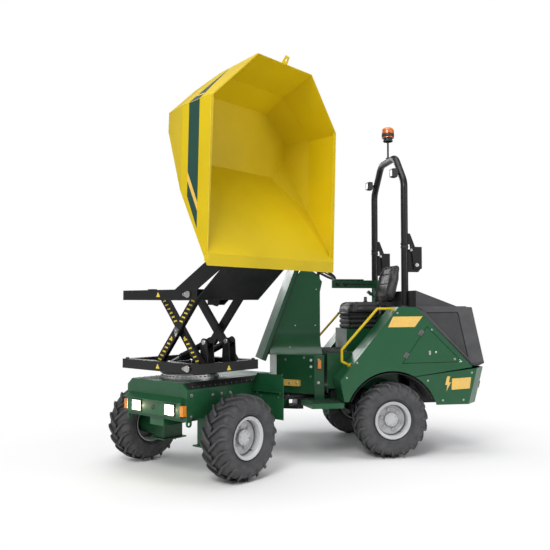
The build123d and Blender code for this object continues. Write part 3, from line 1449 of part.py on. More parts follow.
with BuildPart() as rops_arch:
    with BuildLine(across(rear, rops_x)) as arch_path:
        FilletPolyline((rops_leg_y, rops_joint_z), (rops_leg_y, rops_bend_z), (rops_top_y, rops_top_z),
                       (-rops_top_y, rops_top_z), (-rops_leg_y, rops_bend_z),
                       (-rops_leg_y, rops_joint_z), radius=rops_bend_radius)
    with BuildSketch(Plane(origin=arch_path.line @ 0, z_dir=arch_path.line % 0)):
        Circle(rops_radius)
    sweep(path=arch_path.line)
    for side in (1, -1):
        for inner in (hinge_plate / 2 + side_gap, -hinge_plate * 1.5 - side_gap):
            with BuildSketch(upright(rear, side * rops_leg_y + inner + hinge_plate)):
                top, knee = rops_joint_z + arch_plate_rise, rops_joint_z - arch_plate_knee_drop
                foot, root = rops_pin_z - arch_plate_foot, rops_joint_z + arch_plate_root_rise
                Polygon((rops_x - fold_root, top), (rops_x - arch_plate_neck, top),
                        (rops_x - arch_plate_knee, knee), (rops_x - fold_reach, knee),
                        (rops_x - fold_reach, foot), (rops_x - arch_plate_toe, foot),
                        (rops_x - arch_plate_inner, root), (rops_x - fold_root, root), align=None)
            extrude(amount=hinge_plate)
        reach = hinge_plate * 1.5 + side_gap + hinge_pin_end
        round_bar(rear, rops_pin_x, (side * rops_leg_y - reach, side * rops_leg_y + reach),
                  rops_pin_z, rops_pin_radius)
save(rops_arch, "rops_arch")

with BuildPart() as beacon:
    with BuildSketch(level(rear, rops_top_z + rops_radius)):
        with Locations((rops_x, 0)):
            Circle(beacon_pole_radius)
    extrude(amount=beacon_base_z - rops_top_z - rops_radius)
    with BuildSketch(level(rear, beacon_base_z)):
        with Locations((rops_x, 0)):
            Circle(beacon_radius * beacon_base_share)
    extrude(amount=beacon_lens_z - beacon_base_z)
save(beacon, "beacon")

with BuildPart() as beacon_lens:
    with BuildSketch(level(rear, beacon_lens_z)):
        with Locations((rops_x, 0)):
            Circle(beacon_radius)
    extrude(amount=beacon_top_z - beacon_lens_z)
    fillet(beacon_lens.edges().sort_by(Axis.Z)[-1], beacon_radius * 0.6)
save(beacon_lens, "beacon_lens")

with BuildPart() as work_lamps:
    for side in (1, -1):
        y, tube_x = side * work_lamp_y, rops_x + rops_radius
        box(rear, (tube_x, tube_x + work_lamp_arm), (y - work_lamp_stem / 2, y + work_lamp_stem / 2),
            (work_lamp_z - work_lamp_stem / 2, work_lamp_z + work_lamp_stem / 2))
        box(rear, (tube_x + work_lamp_arm, tube_x + work_lamp_arm + work_lamp_depth),
            (y - work_lamp_size / 2, y + work_lamp_size / 2),
            (work_lamp_z - work_lamp_size / 2, work_lamp_z + work_lamp_size / 2))
save(work_lamps, "work_lamps")

# ================================================================ hood and access door
hood_outline = [
    (hood_front_x, hood_front_z), (hood_mid_x, hood_mid_z), (hood_ridge_x, hood_ridge_z),
    (hood_tail_x, hood_tail_z), (hood_tail_x + 60, tail_top_z + hood_clear),
    (side_rear_x - 20, side_rear_z + hood_clear), (hood_front_x, side_top_z - 20),
]
with BuildPart() as hood:
    with BuildSketch(upright(rear, hood_half)):
        Polygon(*hood_outline, align=None)
    extrude(amount=2 * hood_half)
    with BuildSketch(upright(rear, hood_half - hood_sheet)):
        Polygon((hood_front_x - hood_sheet, hood_front_z - 1.4 * hood_sheet),
                (hood_mid_x, hood_mid_z - hood_sheet),
                (hood_ridge_x + hood_sheet, hood_ridge_z - hood_sheet),
                (hood_tail_x + hood_sheet, hood_tail_z), (hood_tail_x + 60, tail_top_z - 40),
                (side_rear_x - 20, side_rear_z - 60),
                (hood_front_x - hood_sheet, side_top_z - 60), align=None)
    extrude(amount=2 * (hood_half - hood_sheet), mode=Mode.SUBTRACT)
    # knuckles of its hinge, with an arm to the tail
    for side in (1, -1):
        ends = (side * hood_hinge_y - hood_knuckle_half, side * hood_hinge_y + hood_knuckle_half)
        box(rear, (hood_tail_x + hood_sheet / 2, hood_hinge_x), ends,
            (hood_hinge_z + hood_arm_rise, hood_hinge_z + hood_arm_rise + hood_arm_thick))
        round_bar(rear, hood_hinge_x, ends, hood_hinge_z, hood_knuckle_radius)
        round_bar(rear, hood_hinge_x, ends, hood_hinge_z, hood_pin_radius + fit_gap, Mode.SUBTRACT)
save(hood, "hood")

with BuildPart() as access_door:
    with BuildSketch(upright(rear, side_y)):
        with BuildLine():
            Polyline(*door_outline, close=True)
            offset(amount=-door_gap, kind=Kind.INTERSECTION)
        make_face()
    extrude(amount=side_sheet_thick)
save(access_door, "access_door")

# knuckles and fixed leaves of the door's hinges, along its slanted front edge
edge_x, edge_z = door_top_x - door_front_x, door_top_z - door_low_z
with BuildPart() as door_hinges:
    for share in door_hinge_places:
        knuckle = Plane(origin=rear.from_local_coords((door_front_x + share * edge_x,
                                                       side_y + door_pin_rise,
                                                       door_low_z + share * edge_z)),
                        x_dir=(edge_x, 0, edge_z), z_dir=rear.y_dir)
        half = door_hinge_length / 2
        with BuildSketch(across(knuckle, -half)) as round_end:
            Circle(door_pin_radius)
        extrude(round_end.sketch, amount=door_hinge_length)
        box(knuckle, (-half, half), (0, door_leaf_width),
            (-door_pin_rise, door_leaf_sheet - door_pin_rise))
save(door_hinges, "door_hinges")

# ================================================================ steering cylinder
steer_end = front.from_local_coords((steer_eye_x, steer_eye_y, steer_z))
steer_foot = rear.from_local_coords((steer_foot_x, steer_foot_y, steer_z))
steer_length = (steer_end - steer_foot).length
steer_along = (steer_end - steer_foot).normalized()
steer_frame = Plane(origin=steer_foot, x_dir=steer_along, z_dir=steer_along.cross(rear.z_dir))
steer_barrel, steer_rod = barrel_and_rod(
    steer_frame, (0,), (steer_barrel_radius, steer_barrel_length, steer_tail), steer_rod_radius,
    steer_pin_radius, (steer_eye_radius, steer_ear_gap - 2 * side_gap), steer_length)
save(steer_barrel, "steer_barrel")
save(steer_rod, "steer_rod")
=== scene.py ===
import json
from math import cos, exp, pi, radians, sin

import bmesh
import bpy
from mathutils import Matrix, Vector, bvhtree


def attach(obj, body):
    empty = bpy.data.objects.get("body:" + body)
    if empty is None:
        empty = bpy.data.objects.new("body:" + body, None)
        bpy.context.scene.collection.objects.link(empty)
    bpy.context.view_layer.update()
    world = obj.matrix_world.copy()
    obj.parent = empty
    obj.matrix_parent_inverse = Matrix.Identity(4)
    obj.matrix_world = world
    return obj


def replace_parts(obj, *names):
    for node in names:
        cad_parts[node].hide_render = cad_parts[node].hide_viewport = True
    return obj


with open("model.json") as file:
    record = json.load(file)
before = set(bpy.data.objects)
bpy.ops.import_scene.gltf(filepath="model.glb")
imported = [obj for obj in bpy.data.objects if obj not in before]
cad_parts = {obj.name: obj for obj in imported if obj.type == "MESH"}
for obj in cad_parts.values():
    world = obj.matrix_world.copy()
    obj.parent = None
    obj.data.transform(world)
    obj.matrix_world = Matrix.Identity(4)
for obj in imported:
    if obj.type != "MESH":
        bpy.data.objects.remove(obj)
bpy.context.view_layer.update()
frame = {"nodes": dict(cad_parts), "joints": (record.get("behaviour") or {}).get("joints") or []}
joints = {joint["name"]: joint for joint in frame["joints"]}


# ---------------------------------------------------------------- where the halves stand
# The machine is two halves on a centre pivot, with a table slewed on the front half.
# Each part is placed in the axes of the half that carries it, in metres.
def axes(origin, forward, left):
    """Axes with x forward, y to the left and z up."""
    columns = Matrix((forward, left, forward.cross(left))).transposed().to_4x4()
    return Matrix.Translation(origin) @ columns


def at(place, x, y, z):
    """Point of some axes in the world."""
    return place @ Vector((x, y, z))


def way(place, x, y, z):
    """Direction of some axes in the world."""
    return (place.to_3x3() @ Vector((x, y, z))).normalized()


def sides(place):
    """Left and right of some axes: the sign of y there, and the way out."""
    return [(side, way(place, 0, 1, 0) * side) for side in (1, -1)]


up = Vector((0, 0, 1))
pivot = Vector(joints["articulation"]["pos_m"]) * Vector((1, 1, 0))
rear = axes(pivot, Vector((1, 0, 0)), Vector((0, 1, 0)))
front_left = Vector(joints["roll_front_left"]["axis"])
front = axes(pivot, front_left.cross(up), front_left)
table_left = Vector(joints["lift"]["axis"])
slew = Vector(joints["slew"]["pos_m"]) * Vector((1, 1, 0))
table = axes(slew, table_left.cross(up), table_left)
tip_lean = radians(joints["tip"]["range_deg"][0])
pour = table.to_3x3() @ Vector((cos(tip_lean), 0, sin(tip_lean)))
skip_axes = axes(Vector(joints["tip"]["pos_m"]), pour, table_left)


# ---------------------------------------------------------------- studio
# A pale floor and backdrop, soft light from above the camera and from both sides.
# The camera stands to the left of the machine at chest height.
def add_object(name, data):
    made = bpy.data.objects.new(name, data)
    bpy.context.scene.collection.objects.link(made)
    return made


def aim(thing, look):
    """Turns a camera or a lamp along a direction."""
    thing.rotation_mode = "QUATERNION"
    thing.rotation_quaternion = look.to_track_quat("-Z", "Y")


def fill(node, inputs):
    """Sets inputs of a shader node: a socket is linked, anything else is the value."""
    for key, value in inputs.items():
        if isinstance(value, bpy.types.NodeSocket):
            node.id_data.links.new(value, node.inputs[key])
        else:
            node.inputs[key].default_value = value


def add_node(tree, kind, inputs=None, **settings):
    """New shader node with its settings and inputs."""
    node = tree.nodes.new("ShaderNode" + kind)
    for key, value in settings.items():
        setattr(node, key, value)
    fill(node, inputs or {})
    return node


CAMERA_HEIGHT = 1.4464
camera_data = bpy.data.cameras.new("camera")
camera_data.lens = 45.3
camera_data.sensor_width = 36.0
camera = add_object("camera", camera_data)
camera.location = at(rear, 1.3078, 6.9807, CAMERA_HEIGHT)
yaw, rise = radians(-100.16), radians(2.44)
aim(camera, Vector((cos(rise) * cos(yaw), cos(rise) * sin(yaw), sin(rise))))
bpy.context.scene.camera = camera
bpy.context.scene.view_settings.view_transform = "Standard"

world = bpy.data.worlds.new("studio")
bpy.context.scene.world = world
world.use_nodes = True
sky = world.node_tree
sky.nodes.clear()
seen = add_node(sky, "Background", {"Color": (1, 1, 1, 1)})
lit = add_node(sky, "Background", {"Color": (0.95, 0.97, 1.0, 1), "Strength": 0.38})
pick = add_node(sky, "MixShader", {"Fac": add_node(sky, "LightPath").outputs["Is Camera Ray"],
                                   1: lit.outputs[0], 2: seen.outputs[0]})
add_node(sky, "OutputWorld", {"Surface": pick.outputs[0]})

LIT_SPOT = Vector((0, 0, 1.2))
for name, place, size, power in (
    ("key", (3.5, 6.0, 6.0), 3.0, 400),
    ("fill", (-6.0, 5.0, 3.5), 3.0, 150),
    ("top", (0.0, 0.5, 7.0), 4.0, 190),
    ("back", (1.0, -7.0, 4.0), 3.0, 90),
):
    lamp_data = bpy.data.lights.new(name, "AREA")
    lamp_data.size, lamp_data.energy = size, power
    lamp = add_object(name, lamp_data)
    lamp.location = place
    aim(lamp, LIT_SPOT - lamp.location)

FLOOR_REACH = 60.0
floor_mesh = bpy.data.meshes.new("floor")
floor_corners = [(x * FLOOR_REACH, y * FLOOR_REACH, 0) for x, y in ((-1, -1), (1, -1), (1, 1), (-1, 1))]
floor_mesh.from_pydata(floor_corners, [], [(0, 1, 2, 3)])
floor = add_object("floor", floor_mesh)
floor.location.z = -0.001
pale = bpy.data.materials.new("pale_floor")
pale.use_nodes = True
ground = pale.node_tree
matt = ground.nodes["Principled BSDF"]
fill(matt, {"Base Color": (0.94, 0.94, 0.94, 1), "Roughness": 0.9, "Specular IOR Level": 0.1})
# far from the machine the floor turns to plain white, so that no horizon shows
away = add_node(ground, "VectorMath", {0: add_node(ground, "TexCoord").outputs["Object"]}, operation="LENGTH")
fade = add_node(ground, "MapRange", {"From Min": 1.2, "From Max": 3.6, "Value": away.outputs["Value"]},
                interpolation_type="SMOOTHSTEP")
rays = add_node(ground, "LightPath").outputs
seen_by = rays["Is Camera Ray"]
for ray in ("Is Glossy Ray", "Is Transmission Ray"):
    seen_by = add_node(ground, "Math", {0: seen_by, 1: rays[ray]}, operation="ADD", use_clamp=True).outputs[0]
share = add_node(ground, "Math", {0: fade.outputs["Result"], 1: seen_by}, operation="MULTIPLY")
floor_mix = add_node(ground, "MixShader", {"Fac": share.outputs[0], 1: matt.outputs[0],
                                           2: add_node(ground, "Emission").outputs[0]})
fill(ground.nodes["Material Output"], {"Surface": floor_mix.outputs[0]})
floor_mesh.materials.append(pale)


# ---------------------------------------------------------------- tyres
# Black rubber tractor-pattern tyres, moulded in one with 19 bars a side that
# sweep back from the middle and run down over the shoulder.
def surface(name, rough):
    """New material, its shader and its object coordinates."""
    material = bpy.data.materials.new(name)
    material.use_nodes = True
    shader = material.node_tree.nodes["Principled BSDF"]
    fill(shader, {"Roughness": rough})
    return material, shader, add_node(material.node_tree, "TexCoord").outputs["Object"]


def noise(coords, scale, detail=3.0, stretch=None):
    """Soft random field from 0 to 1, its grain finer as the scale grows."""
    if stretch:
        coords = add_node(coords.id_data, "Mapping", {"Scale": stretch, "Vector": coords}).outputs["Vector"]
    texture = add_node(coords.id_data, "TexNoise", {"Scale": scale, "Detail": detail, "Vector": coords})
    return texture.outputs["Fac"]


def spread(value, low, high, to_low=0.0, to_high=1.0):
    """Maps low..high of a value to to_low..to_high."""
    return add_node(value.id_data, "MapRange", {"From Min": low, "From Max": high, "To Min": to_low,
                                                "To Max": to_high, "Value": value}).outputs["Result"]


def times(a, b):
    """Product of a socket and another, or a number."""
    return add_node(a.id_data, "Math", {0: a, 1: b}, operation="MULTIPLY").outputs[0]


def blend(factor, a, b):
    """Mix of two colours, each a tuple or a socket."""
    a, b = ((*colour, 1) if isinstance(colour, tuple) else colour for colour in (a, b))
    return add_node(factor.id_data, "Mix", {"Factor": factor, 6: a, 7: b}, data_type="RGBA").outputs[2]


def relief(shader, *heights):
    """Chain of bumps, each a height socket, its strength and its distance."""
    chain = {}
    for height, strength, distance in heights:
        bump = add_node(shader.id_data, "Bump", {"Strength": strength, "Distance": distance, "Height": height,
                                                 **chain})
        chain = {"Normal": bump.outputs["Normal"]}
    fill(shader, chain)


def low_dust(coords, top):
    """1 near the ground, 0 above top, broken up by a soft noise."""
    height = add_node(coords.id_data, "SeparateXYZ", {0: coords}).outputs["Z"]
    return times(spread(height, 0.05, top, 1.0, 0.0), spread(noise(coords, 9.0, 5.0), 0.35, 0.7))


def crevice_shade_mask(shader, reach, low, high):
    """Mask for painted shade: 1 in crevices within the given reach, 0 on open faces."""
    shade = add_node(shader.id_data, "AmbientOcclusion", {"Distance": reach}, samples=4)
    return spread(shade.outputs["AO"], low, high, 1.0, 0.0)


tyre_rubber, shader, coords = surface("tyre_rubber", 0.66)
grime = spread(noise(coords, 14.0, 6.0), 0.42, 0.72)
worn_rubber = blend(grime, (0.055, 0.056, 0.058), (0.085, 0.085, 0.087))
# painted shade: the rubber turns near black in the grooves between the bars
rubber_with_painted_shade = blend(crevice_shade_mask(shader, 0.06, 0.4, 0.97), worn_rubber, (0.006, 0.006, 0.007))
fill(shader, {"Specular IOR Level": 0.35,
              "Base Color": blend(times(low_dust(coords, 0.5), 0.2), rubber_with_painted_shade, (0.07, 0.066, 0.06)),
              "Roughness": spread(noise(coords, 30.0), 0.3, 0.7, 0.55, 0.76)})
relief(shader, (noise(coords, 420.0), 0.25, 0.0006), (noise(coords, 45.0), 0.2, 0.001))


def soften(piece, bevel, smooth=None):
    """Rounds hard edges a little and smooths faces that meet under an angle in degrees."""
    if bevel:
        round_edges = piece.modifiers.new("round_edges", "BEVEL")
        round_edges.width = bevel
        round_edges.segments = 2
        round_edges.limit_method = "ANGLE"
        round_edges.angle_limit = radians(32)
        round_edges.harden_normals = False
    if smooth:
        for polygon in piece.data.polygons:
            polygon.use_smooth = True
        piece.data.set_sharp_from_angle(angle=radians(smooth))


def to_object(name, shape):
    """Object with a bmesh's faces, their normals outward."""
    bmesh.ops.recalc_face_normals(shape, faces=shape.faces)
    mesh = bpy.data.meshes.new(name)
    shape.to_mesh(mesh)
    shape.free()
    return add_object(name, mesh)


def finish_piece(name, shape, finish, body, bevel=0.0, smooth=None):
    """Turns a bmesh into a piece that rides on a body, with soft edges if asked."""
    piece = to_object(name, shape)
    piece.data.materials.append(finish)
    soften(piece, bevel, smooth)
    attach(piece, body)
    return piece


def add_faces(shape, rows, closed_rows=True, closed_ends=False):
    """Skins rows of points, each row a ring or a strip."""
    grid = [[shape.verts.new(point) for point in row] for row in rows]
    count = len(grid)
    for i in range(count if closed_ends else count - 1):
        a, b = grid[i], grid[(i + 1) % count]
        for j in range(len(a) if closed_rows else len(a) - 1):
            k = (j + 1) % len(a)
            shape.faces.new((a[j], a[k], b[k], b[j]))
    return grid


def shapes(count):
    """Empty shapes to build pieces in."""
    return [bmesh.new() for _ in range(count)]


def circle_points(centre, side, other, radius, count):
    """Ring of points round a centre, in the plane of two directions."""
    angles = [2 * pi * i / count for i in range(count)]
    return [centre + (side * cos(angle) + other * sin(angle)) * radius for angle in angles]


def lathe(shape, centre, axle, profile, segments):
    """Turns (radius, distance along the axle) points about the axle."""
    axle = axle.normalized()
    side = axle.orthogonal().normalized()
    spokes = circle_points(Vector((0, 0, 0)), side, axle.cross(side), 1.0, segments)
    add_faces(shape, [[centre + spoke * radius + axle * along for radius, along in profile]
                      for spoke in spokes], closed_ends=True)


# radius and distance from the middle, from the inner bead round to the outer one
tyre_half_profile = [(0.335, 0.0), (0.3335, 0.05), (0.329, 0.085), (0.319, 0.108), (0.303, 0.1235),
                     (0.28, 0.1295), (0.25, 0.129), (0.222, 0.1225), (0.216, 0.1215), (0.212, 0.1235),
                     (0.207, 0.1235), (0.203, 0.117), (0.19, 0.106), (0.1805, 0.098), (0.176, 0.086),
                     (0.22, 0.075), (0.30, 0.05)]
# a bar's distance across, radius of its foot and top, and how far back it has swept (0 to 1)
bar_stations = [(-0.012, 0.329, 0.352, -0.08), (0.015, 0.329, 0.355, 0.1), (0.045, 0.328, 0.3545, 0.36),
                (0.075, 0.322, 0.352, 0.66), (0.1, 0.31, 0.346, 0.88), (0.118, 0.30, 0.335, 0.97),
                (0.1285, 0.286, 0.315, 1.0), (0.1315, 0.272, 0.288, 1.01)]
BARS = 19
BAR_SWEEP = radians(17)
BAR_DRAFT = 0.006

wheels = []
for end in ("front", "rear"):
    for hand, sign in (("left", 1), ("right", -1)):
        joint = joints[f"roll_{end}_{hand}"]
        wheels.append((f"{end}_{hand}", Vector(joint["pos_m"]), Vector(joint["axis"]), sign))

for name, hub, left, sign in wheels:
    tyre_shape = bmesh.new()
    other_half = [(radius, -across) for radius, across in reversed(tyre_half_profile[1:])]
    lathe(tyre_shape, hub, left, tyre_half_profile + other_half, 96)
    ahead = left.cross(up)
    for flank in (1, -1):
        for bar in range(BARS):
            start = 2 * pi * (bar + (0.5 if flank == 1 else 0.0)) / BARS
            rows = []
            for across, low, top, swept in bar_stations:
                wide = 0.019 if across < 0.1 else 0.016
                narrow = wide - BAR_DRAFT
                row = []
                for radius, reach_round in ((low, -wide), (top, -narrow), (top, narrow), (low, wide)):
                    around = start + BAR_SWEEP * swept + reach_round / radius
                    spoke = ahead * cos(around) + up * sin(around)
                    row.append(hub + spoke * radius + left * flank * across)
                rows.append(row)
            grid = add_faces(tyre_shape, rows)
            tyre_shape.faces.new(grid[0])
            tyre_shape.faces.new(list(reversed(grid[-1])))
    tyre = finish_piece(f"tractor_tyre_{name}", tyre_shape, tyre_rubber, f"wheel_{name}",
                        bevel=0.0025, smooth=38)
    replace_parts(tyre, f"tyre_{name}")


# ---------------------------------------------------------------- rims
# Pressed-steel rims, enamelled pale grey, deep-dished on the outside. A disc with
# six wheel nuts is welded in, with the hub motor's cap through its middle.
def edge_wear_and_highlight(shader):
    """Mask of convex edges, for paler worn paint and painted highlight: 1 on convex edges, 0 on flat faces."""
    rounded = add_node(shader.id_data, "Bevel", {"Radius": 0.005}, samples=4)
    flat = add_node(shader.id_data, "NewGeometry")
    match = add_node(shader.id_data, "VectorMath", {0: rounded.outputs["Normal"], 1: flat.outputs["Normal"]},
                     operation="DOT_PRODUCT")
    return spread(match.outputs["Value"], 0.995, 0.93)


def enamel(name, colour, rough, coat, dusty, wear_and_highlight=0.35, worn=None, crevice_shade_colour=None):
    """Sprayed machine paint: faint fading, orange peel, paler edges that are partly worn paint and partly painted
    highlight, and dust below.
    The crevice shade colour, if given, is painted shade in crevices."""
    material, shader, coords = surface(name, rough)
    paint = blend(spread(noise(coords, 1.6, 4.0), 0.3, 0.72), tuple(c * 0.84 for c in colour), colour)
    patches = spread(noise(coords, 28.0, 6.0), 0.4, 0.62)
    # worn paint and painted highlight: convex edges turn paler in random patches
    paint = blend(times(times(edge_wear_and_highlight(shader), patches), wear_and_highlight), paint,
                  worn or tuple(min(1.0, c * 1.5 + 0.06) for c in colour))
    paint = blend(times(low_dust(coords, 1.1), dusty), paint, (0.17, 0.15, 0.12))
    # painted shade: the paint darkens towards the given colour in crevices
    if crevice_shade_colour:
        paint = blend(crevice_shade_mask(shader, 0.05, 0.3, 0.95), paint, crevice_shade_colour)
    fill(shader, {"Specular IOR Level": 0.3, "Coat Weight": coat, "Coat Roughness": 0.08, "Base Color": paint,
                  "Roughness": spread(noise(coords, 6.0, 5.0), 0.3, 0.7, rough - 0.06, rough + 0.1)})
    relief(shader, (noise(coords, 260.0, 2.0), 0.06, 0.0006), (noise(coords, 4.0, 2.0), 0.08, 0.004))
    return material


# the rims' grey carries painted shade, dark grey in the dish and round the nuts
rim_grey = enamel("rim_grey", (0.58, 0.59, 0.6), 0.3, 0.2, 0.12, wear_and_highlight=0.3, crevice_shade_colour=(0.1, 0.1, 0.1))
zinc, shader, coords = surface("zinc_plate", 0.34)
fill(shader, {"Metallic": 1.0,
              "Base Color": blend(noise(coords, 60.0, 4.0), (0.42, 0.42, 0.42), (0.62, 0.61, 0.58)),
              "Roughness": spread(noise(coords, 90.0), 0.3, 0.7, 0.26, 0.45)})
relief(shader, (noise(coords, 500.0), 0.15, 0.0004))


def zinc_piece(name, shape, body, bevel=0.0, smooth=30):
    """Small plated or bright steel parts."""
    return finish_piece(name, shape, zinc, body, bevel, smooth)


def loft(shape, rings):
    """Skins rings of points and closes both ends."""
    grid = add_faces(shape, rings)
    shape.faces.new(list(reversed(grid[0])))
    shape.faces.new(grid[-1])


def add_disc(shape, base, outward, radius, height, sides=24, top=None):
    """Round or many-sided head standing on a face; top is the radius of its outer face."""
    outward = outward.normalized()
    side = outward.orthogonal().normalized()
    other = outward.cross(side)
    loft(shape, [circle_points(base, side, other, radius, sides),
                 circle_points(base + outward * height, side, other, radius if top is None else top, sides)])


RIM_SEGMENTS = 80
rim_ring = [(0.149, 0.094), (0.155, 0.097), (0.163, 0.1), (0.17, 0.106), (0.1755, 0.107), (0.1785, 0.103),
            (0.178, 0.096), (0.171, 0.09), (0.166, 0.062), (0.153, 0.05), (0.153, -0.05), (0.166, -0.062),
            (0.171, -0.09), (0.178, -0.096), (0.1785, -0.103), (0.172, -0.106), (0.163, -0.095),
            (0.157, -0.068), (0.146, -0.055), (0.146, 0.045), (0.1445, 0.07)]
rim_disc = [(0.0, 0.014), (0.1465, 0.014), (0.1465, 0.028), (0.141, 0.034), (0.132, 0.0345), (0.124, 0.03),
            (0.118, 0.0255), (0.066, 0.0255), (0.0645, 0.03), (0.064, 0.052), (0.06, 0.0565),
            (0.03, 0.0575), (0.0, 0.0575)]
WHEEL_NUT = 0.0125
for name, hub, left, sign in wheels:
    outward = left * sign
    ahead = left.cross(up)
    rim_shape, nut_shape = shapes(2)
    for profile in (rim_ring, rim_disc):
        lathe(rim_shape, hub, outward, profile, RIM_SEGMENTS)
    bmesh.ops.remove_doubles(rim_shape, verts=rim_shape.verts, dist=1e-6)
    rim = finish_piece(f"dished_rim_{name}", rim_shape, rim_grey, f"wheel_{name}", smooth=30)
    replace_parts(rim, f"rim_{name}")
    # wheel nuts on their studs, then the small bolts of the hub motor's cap
    for count, circle, size, base, tall in ((6, 0.092, WHEEL_NUT, 0.0255, 0.013),
                                            (8, 0.048, 0.005, 0.0565, 0.005)):
        for i in range(count):
            angle = 2 * pi * (i + 0.25) / count
            spot = hub + (ahead * cos(angle) + up * sin(angle)) * circle + outward * base
            add_disc(nut_shape, spot, outward, size * 1.35, 0.002)
            add_disc(nut_shape, spot, outward, size, tall, 6)
            if size == WHEEL_NUT:
                add_disc(nut_shape, spot, outward, 0.006, 0.021, 12, 0.005)
    valve_side = ahead * 0.6 + up * 0.8
    valve = hub - valve_side * 0.138 + outward * 0.034
    add_disc(nut_shape, valve, outward + valve_side * 0.3, 0.005, 0.04, 10, 0.004)
    finish_piece(f"wheel_nuts_{name}", nut_shape, zinc, f"wheel_{name}", bevel=0.0008,
                 smooth=30)

# ---------------------------------------------------------------- painted CAD parts
# Folded and welded steel, sprayed in the machine's colours: deep green bodywork,
# yellow skip and handrails, and black lifting gear, tables and roll bar.
# each worn colour is the paler edge colour, for worn paint and painted highlight together
green_enamel = enamel("green_enamel", (0.009, 0.088, 0.032), 0.34, 0.18, 0.12, worn=(0.03, 0.16, 0.08))
yellow_enamel = enamel("yellow_enamel", (0.64, 0.46, 0.003), 0.38, 0.1, 0.1, worn=(0.85, 0.66, 0.08))
black_enamel = enamel("black_enamel", (0.006, 0.0062, 0.007), 0.4, 0.08, 0.04, worn=(0.05, 0.05, 0.054))


def dress(nodes, finish, bevel=0.0025, smooth=None):
    """Gives CAD parts their finish, in place of the material they came with."""
    for node in nodes.split():
        part = frame["nodes"][node]
        part.data.materials.clear()
        part.data.materials.append(finish)
        if smooth:
            part.data.set_sharp_from_angle(angle=radians(smooth))
        soften(part, bevel)


dress("front_chassis front_axle light_bar mudflaps tower_base tower_column side_panel_left side_panel_right "
      "rear_bumper access_door control_arm side_steps seat_box tower_shield platform", green_enamel)
dress("handrails lock_bar", yellow_enamel, bevel=0.0)
dress("skip", yellow_enamel, bevel=0.003)
dress("rear_axle rear_chassis lower_table upper_table tip_wedge scissor_inner scissor_outer lift_barrels "
      "tip_barrel steer_barrel rops_posts rops_arch", black_enamel, bevel=0.0015)


# ---------------------------------------------------------------- front chassis trim
# Zinc bolts hold the side plates to the frame inside, beside one folded joint. Black
# rubber strips run along both upper corners, their pads clamped by small screws.
def stand(origin, along, out):
    """Axes at a point of a face: x along it, z out of it."""
    along, out = along.normalized(), out.normalized()
    return Matrix.Translation(origin) @ Matrix((along, out.cross(along), out)).transposed().to_4x4()


def block(shape, place, x, y, z):
    """Box between two x, two y and two z of some axes."""
    corners = [shape.verts.new(at(place, a, b, c)) for c in z for b in y for a in x]
    for face in ((0, 2, 3, 1), (4, 5, 7, 6), (0, 1, 5, 4), (2, 6, 7, 3), (0, 4, 6, 2), (1, 3, 7, 5)):
        shape.faces.new([corners[i] for i in face])


def blocks(shape, place, x, y, z):
    """The same box on the left and on the right."""
    for side in (1, -1):
        block(shape, place, x, sorted(side * edge for edge in y), z)


def slab(shape, corners, depth):
    """Flat plate with the given corners, pushed out by a vector."""
    low = [shape.verts.new(corner) for corner in corners]
    high = [shape.verts.new(Vector(corner) + depth) for corner in corners]
    shape.faces.new(list(reversed(low)))
    shape.faces.new(high)
    for i in range(len(low)):
        j = (i + 1) % len(low)
        shape.faces.new((low[i], low[j], high[j], high[i]))


def bolt(shape, base, out, size):
    """Washer and six-sided head with a chamfered end."""
    out = out.normalized()
    add_disc(shape, base, out, size * 1.45, size * 0.22)
    add_disc(shape, base + out * size * 0.2, out, size, size * 0.75, 6, size * 0.88)


def side_bolts(shape, place, y, size, spots):
    """Bolts on the left and the right face of some axes, at their (x, z) spots."""
    for side, out in sides(place):
        for x, z in spots:
            bolt(shape, at(place, x, side * y, z), out, size)


def plain(name, colour, rough, metallic=0.0, spots=0.0, grain=300.0, depth=0.0004):
    """Unpainted finish: slight colour and gloss changes over a fine grain."""
    material, shader, coords = surface(name, rough)
    pale = tuple(min(1.0, c * 1.3 + 0.003) for c in colour)
    tone = blend(spread(noise(coords, 9.0, 5.0), 0.35, 0.7), colour, pale)
    if spots:
        worn = spread(noise(coords, 70.0, 6.0), 0.55, 0.75, 0.0, spots)
        tone = blend(worn, tone, tuple(c * 0.45 for c in colour))
    fill(shader, {"Metallic": metallic, "Base Color": tone,
                  "Roughness": spread(noise(coords, 24.0, 4.0), 0.3, 0.7, rough - 0.07, rough + 0.09)})
    relief(shader, (noise(coords, grain, 2.0), 0.2, depth))
    return material


strip_rubber = plain("strip_rubber", (0.012, 0.012, 0.013), 0.62)


def rubber_piece(name, shape, body, bevel=0.0, smooth=None):
    """Pads, strips, collars and covers in black rubber."""
    return finish_piece(name, shape, strip_rubber, body, bevel, smooth)


dress("edge_strips", strip_rubber, bevel=0.0012)
front_ahead = way(front, 1, 0, 0)
PLATE_Y = 0.389
chassis_bolts, folded_joint = shapes(2)
side_bolts(chassis_bolts, front, PLATE_Y, 0.0105,
           ((1.566, 0.705), (1.565, 0.533), (1.325, 0.688), (1.225, 0.688), (1.119, 0.688)))
zinc_piece("chassis_side_bolts", chassis_bolts, "front_frame")
blocks(folded_joint, front, (1.371, 1.3725), (0.3885, 0.3896), (0.522, 0.717))
finish_piece("side_plate_joint", folded_joint, black_enamel, "front_frame")

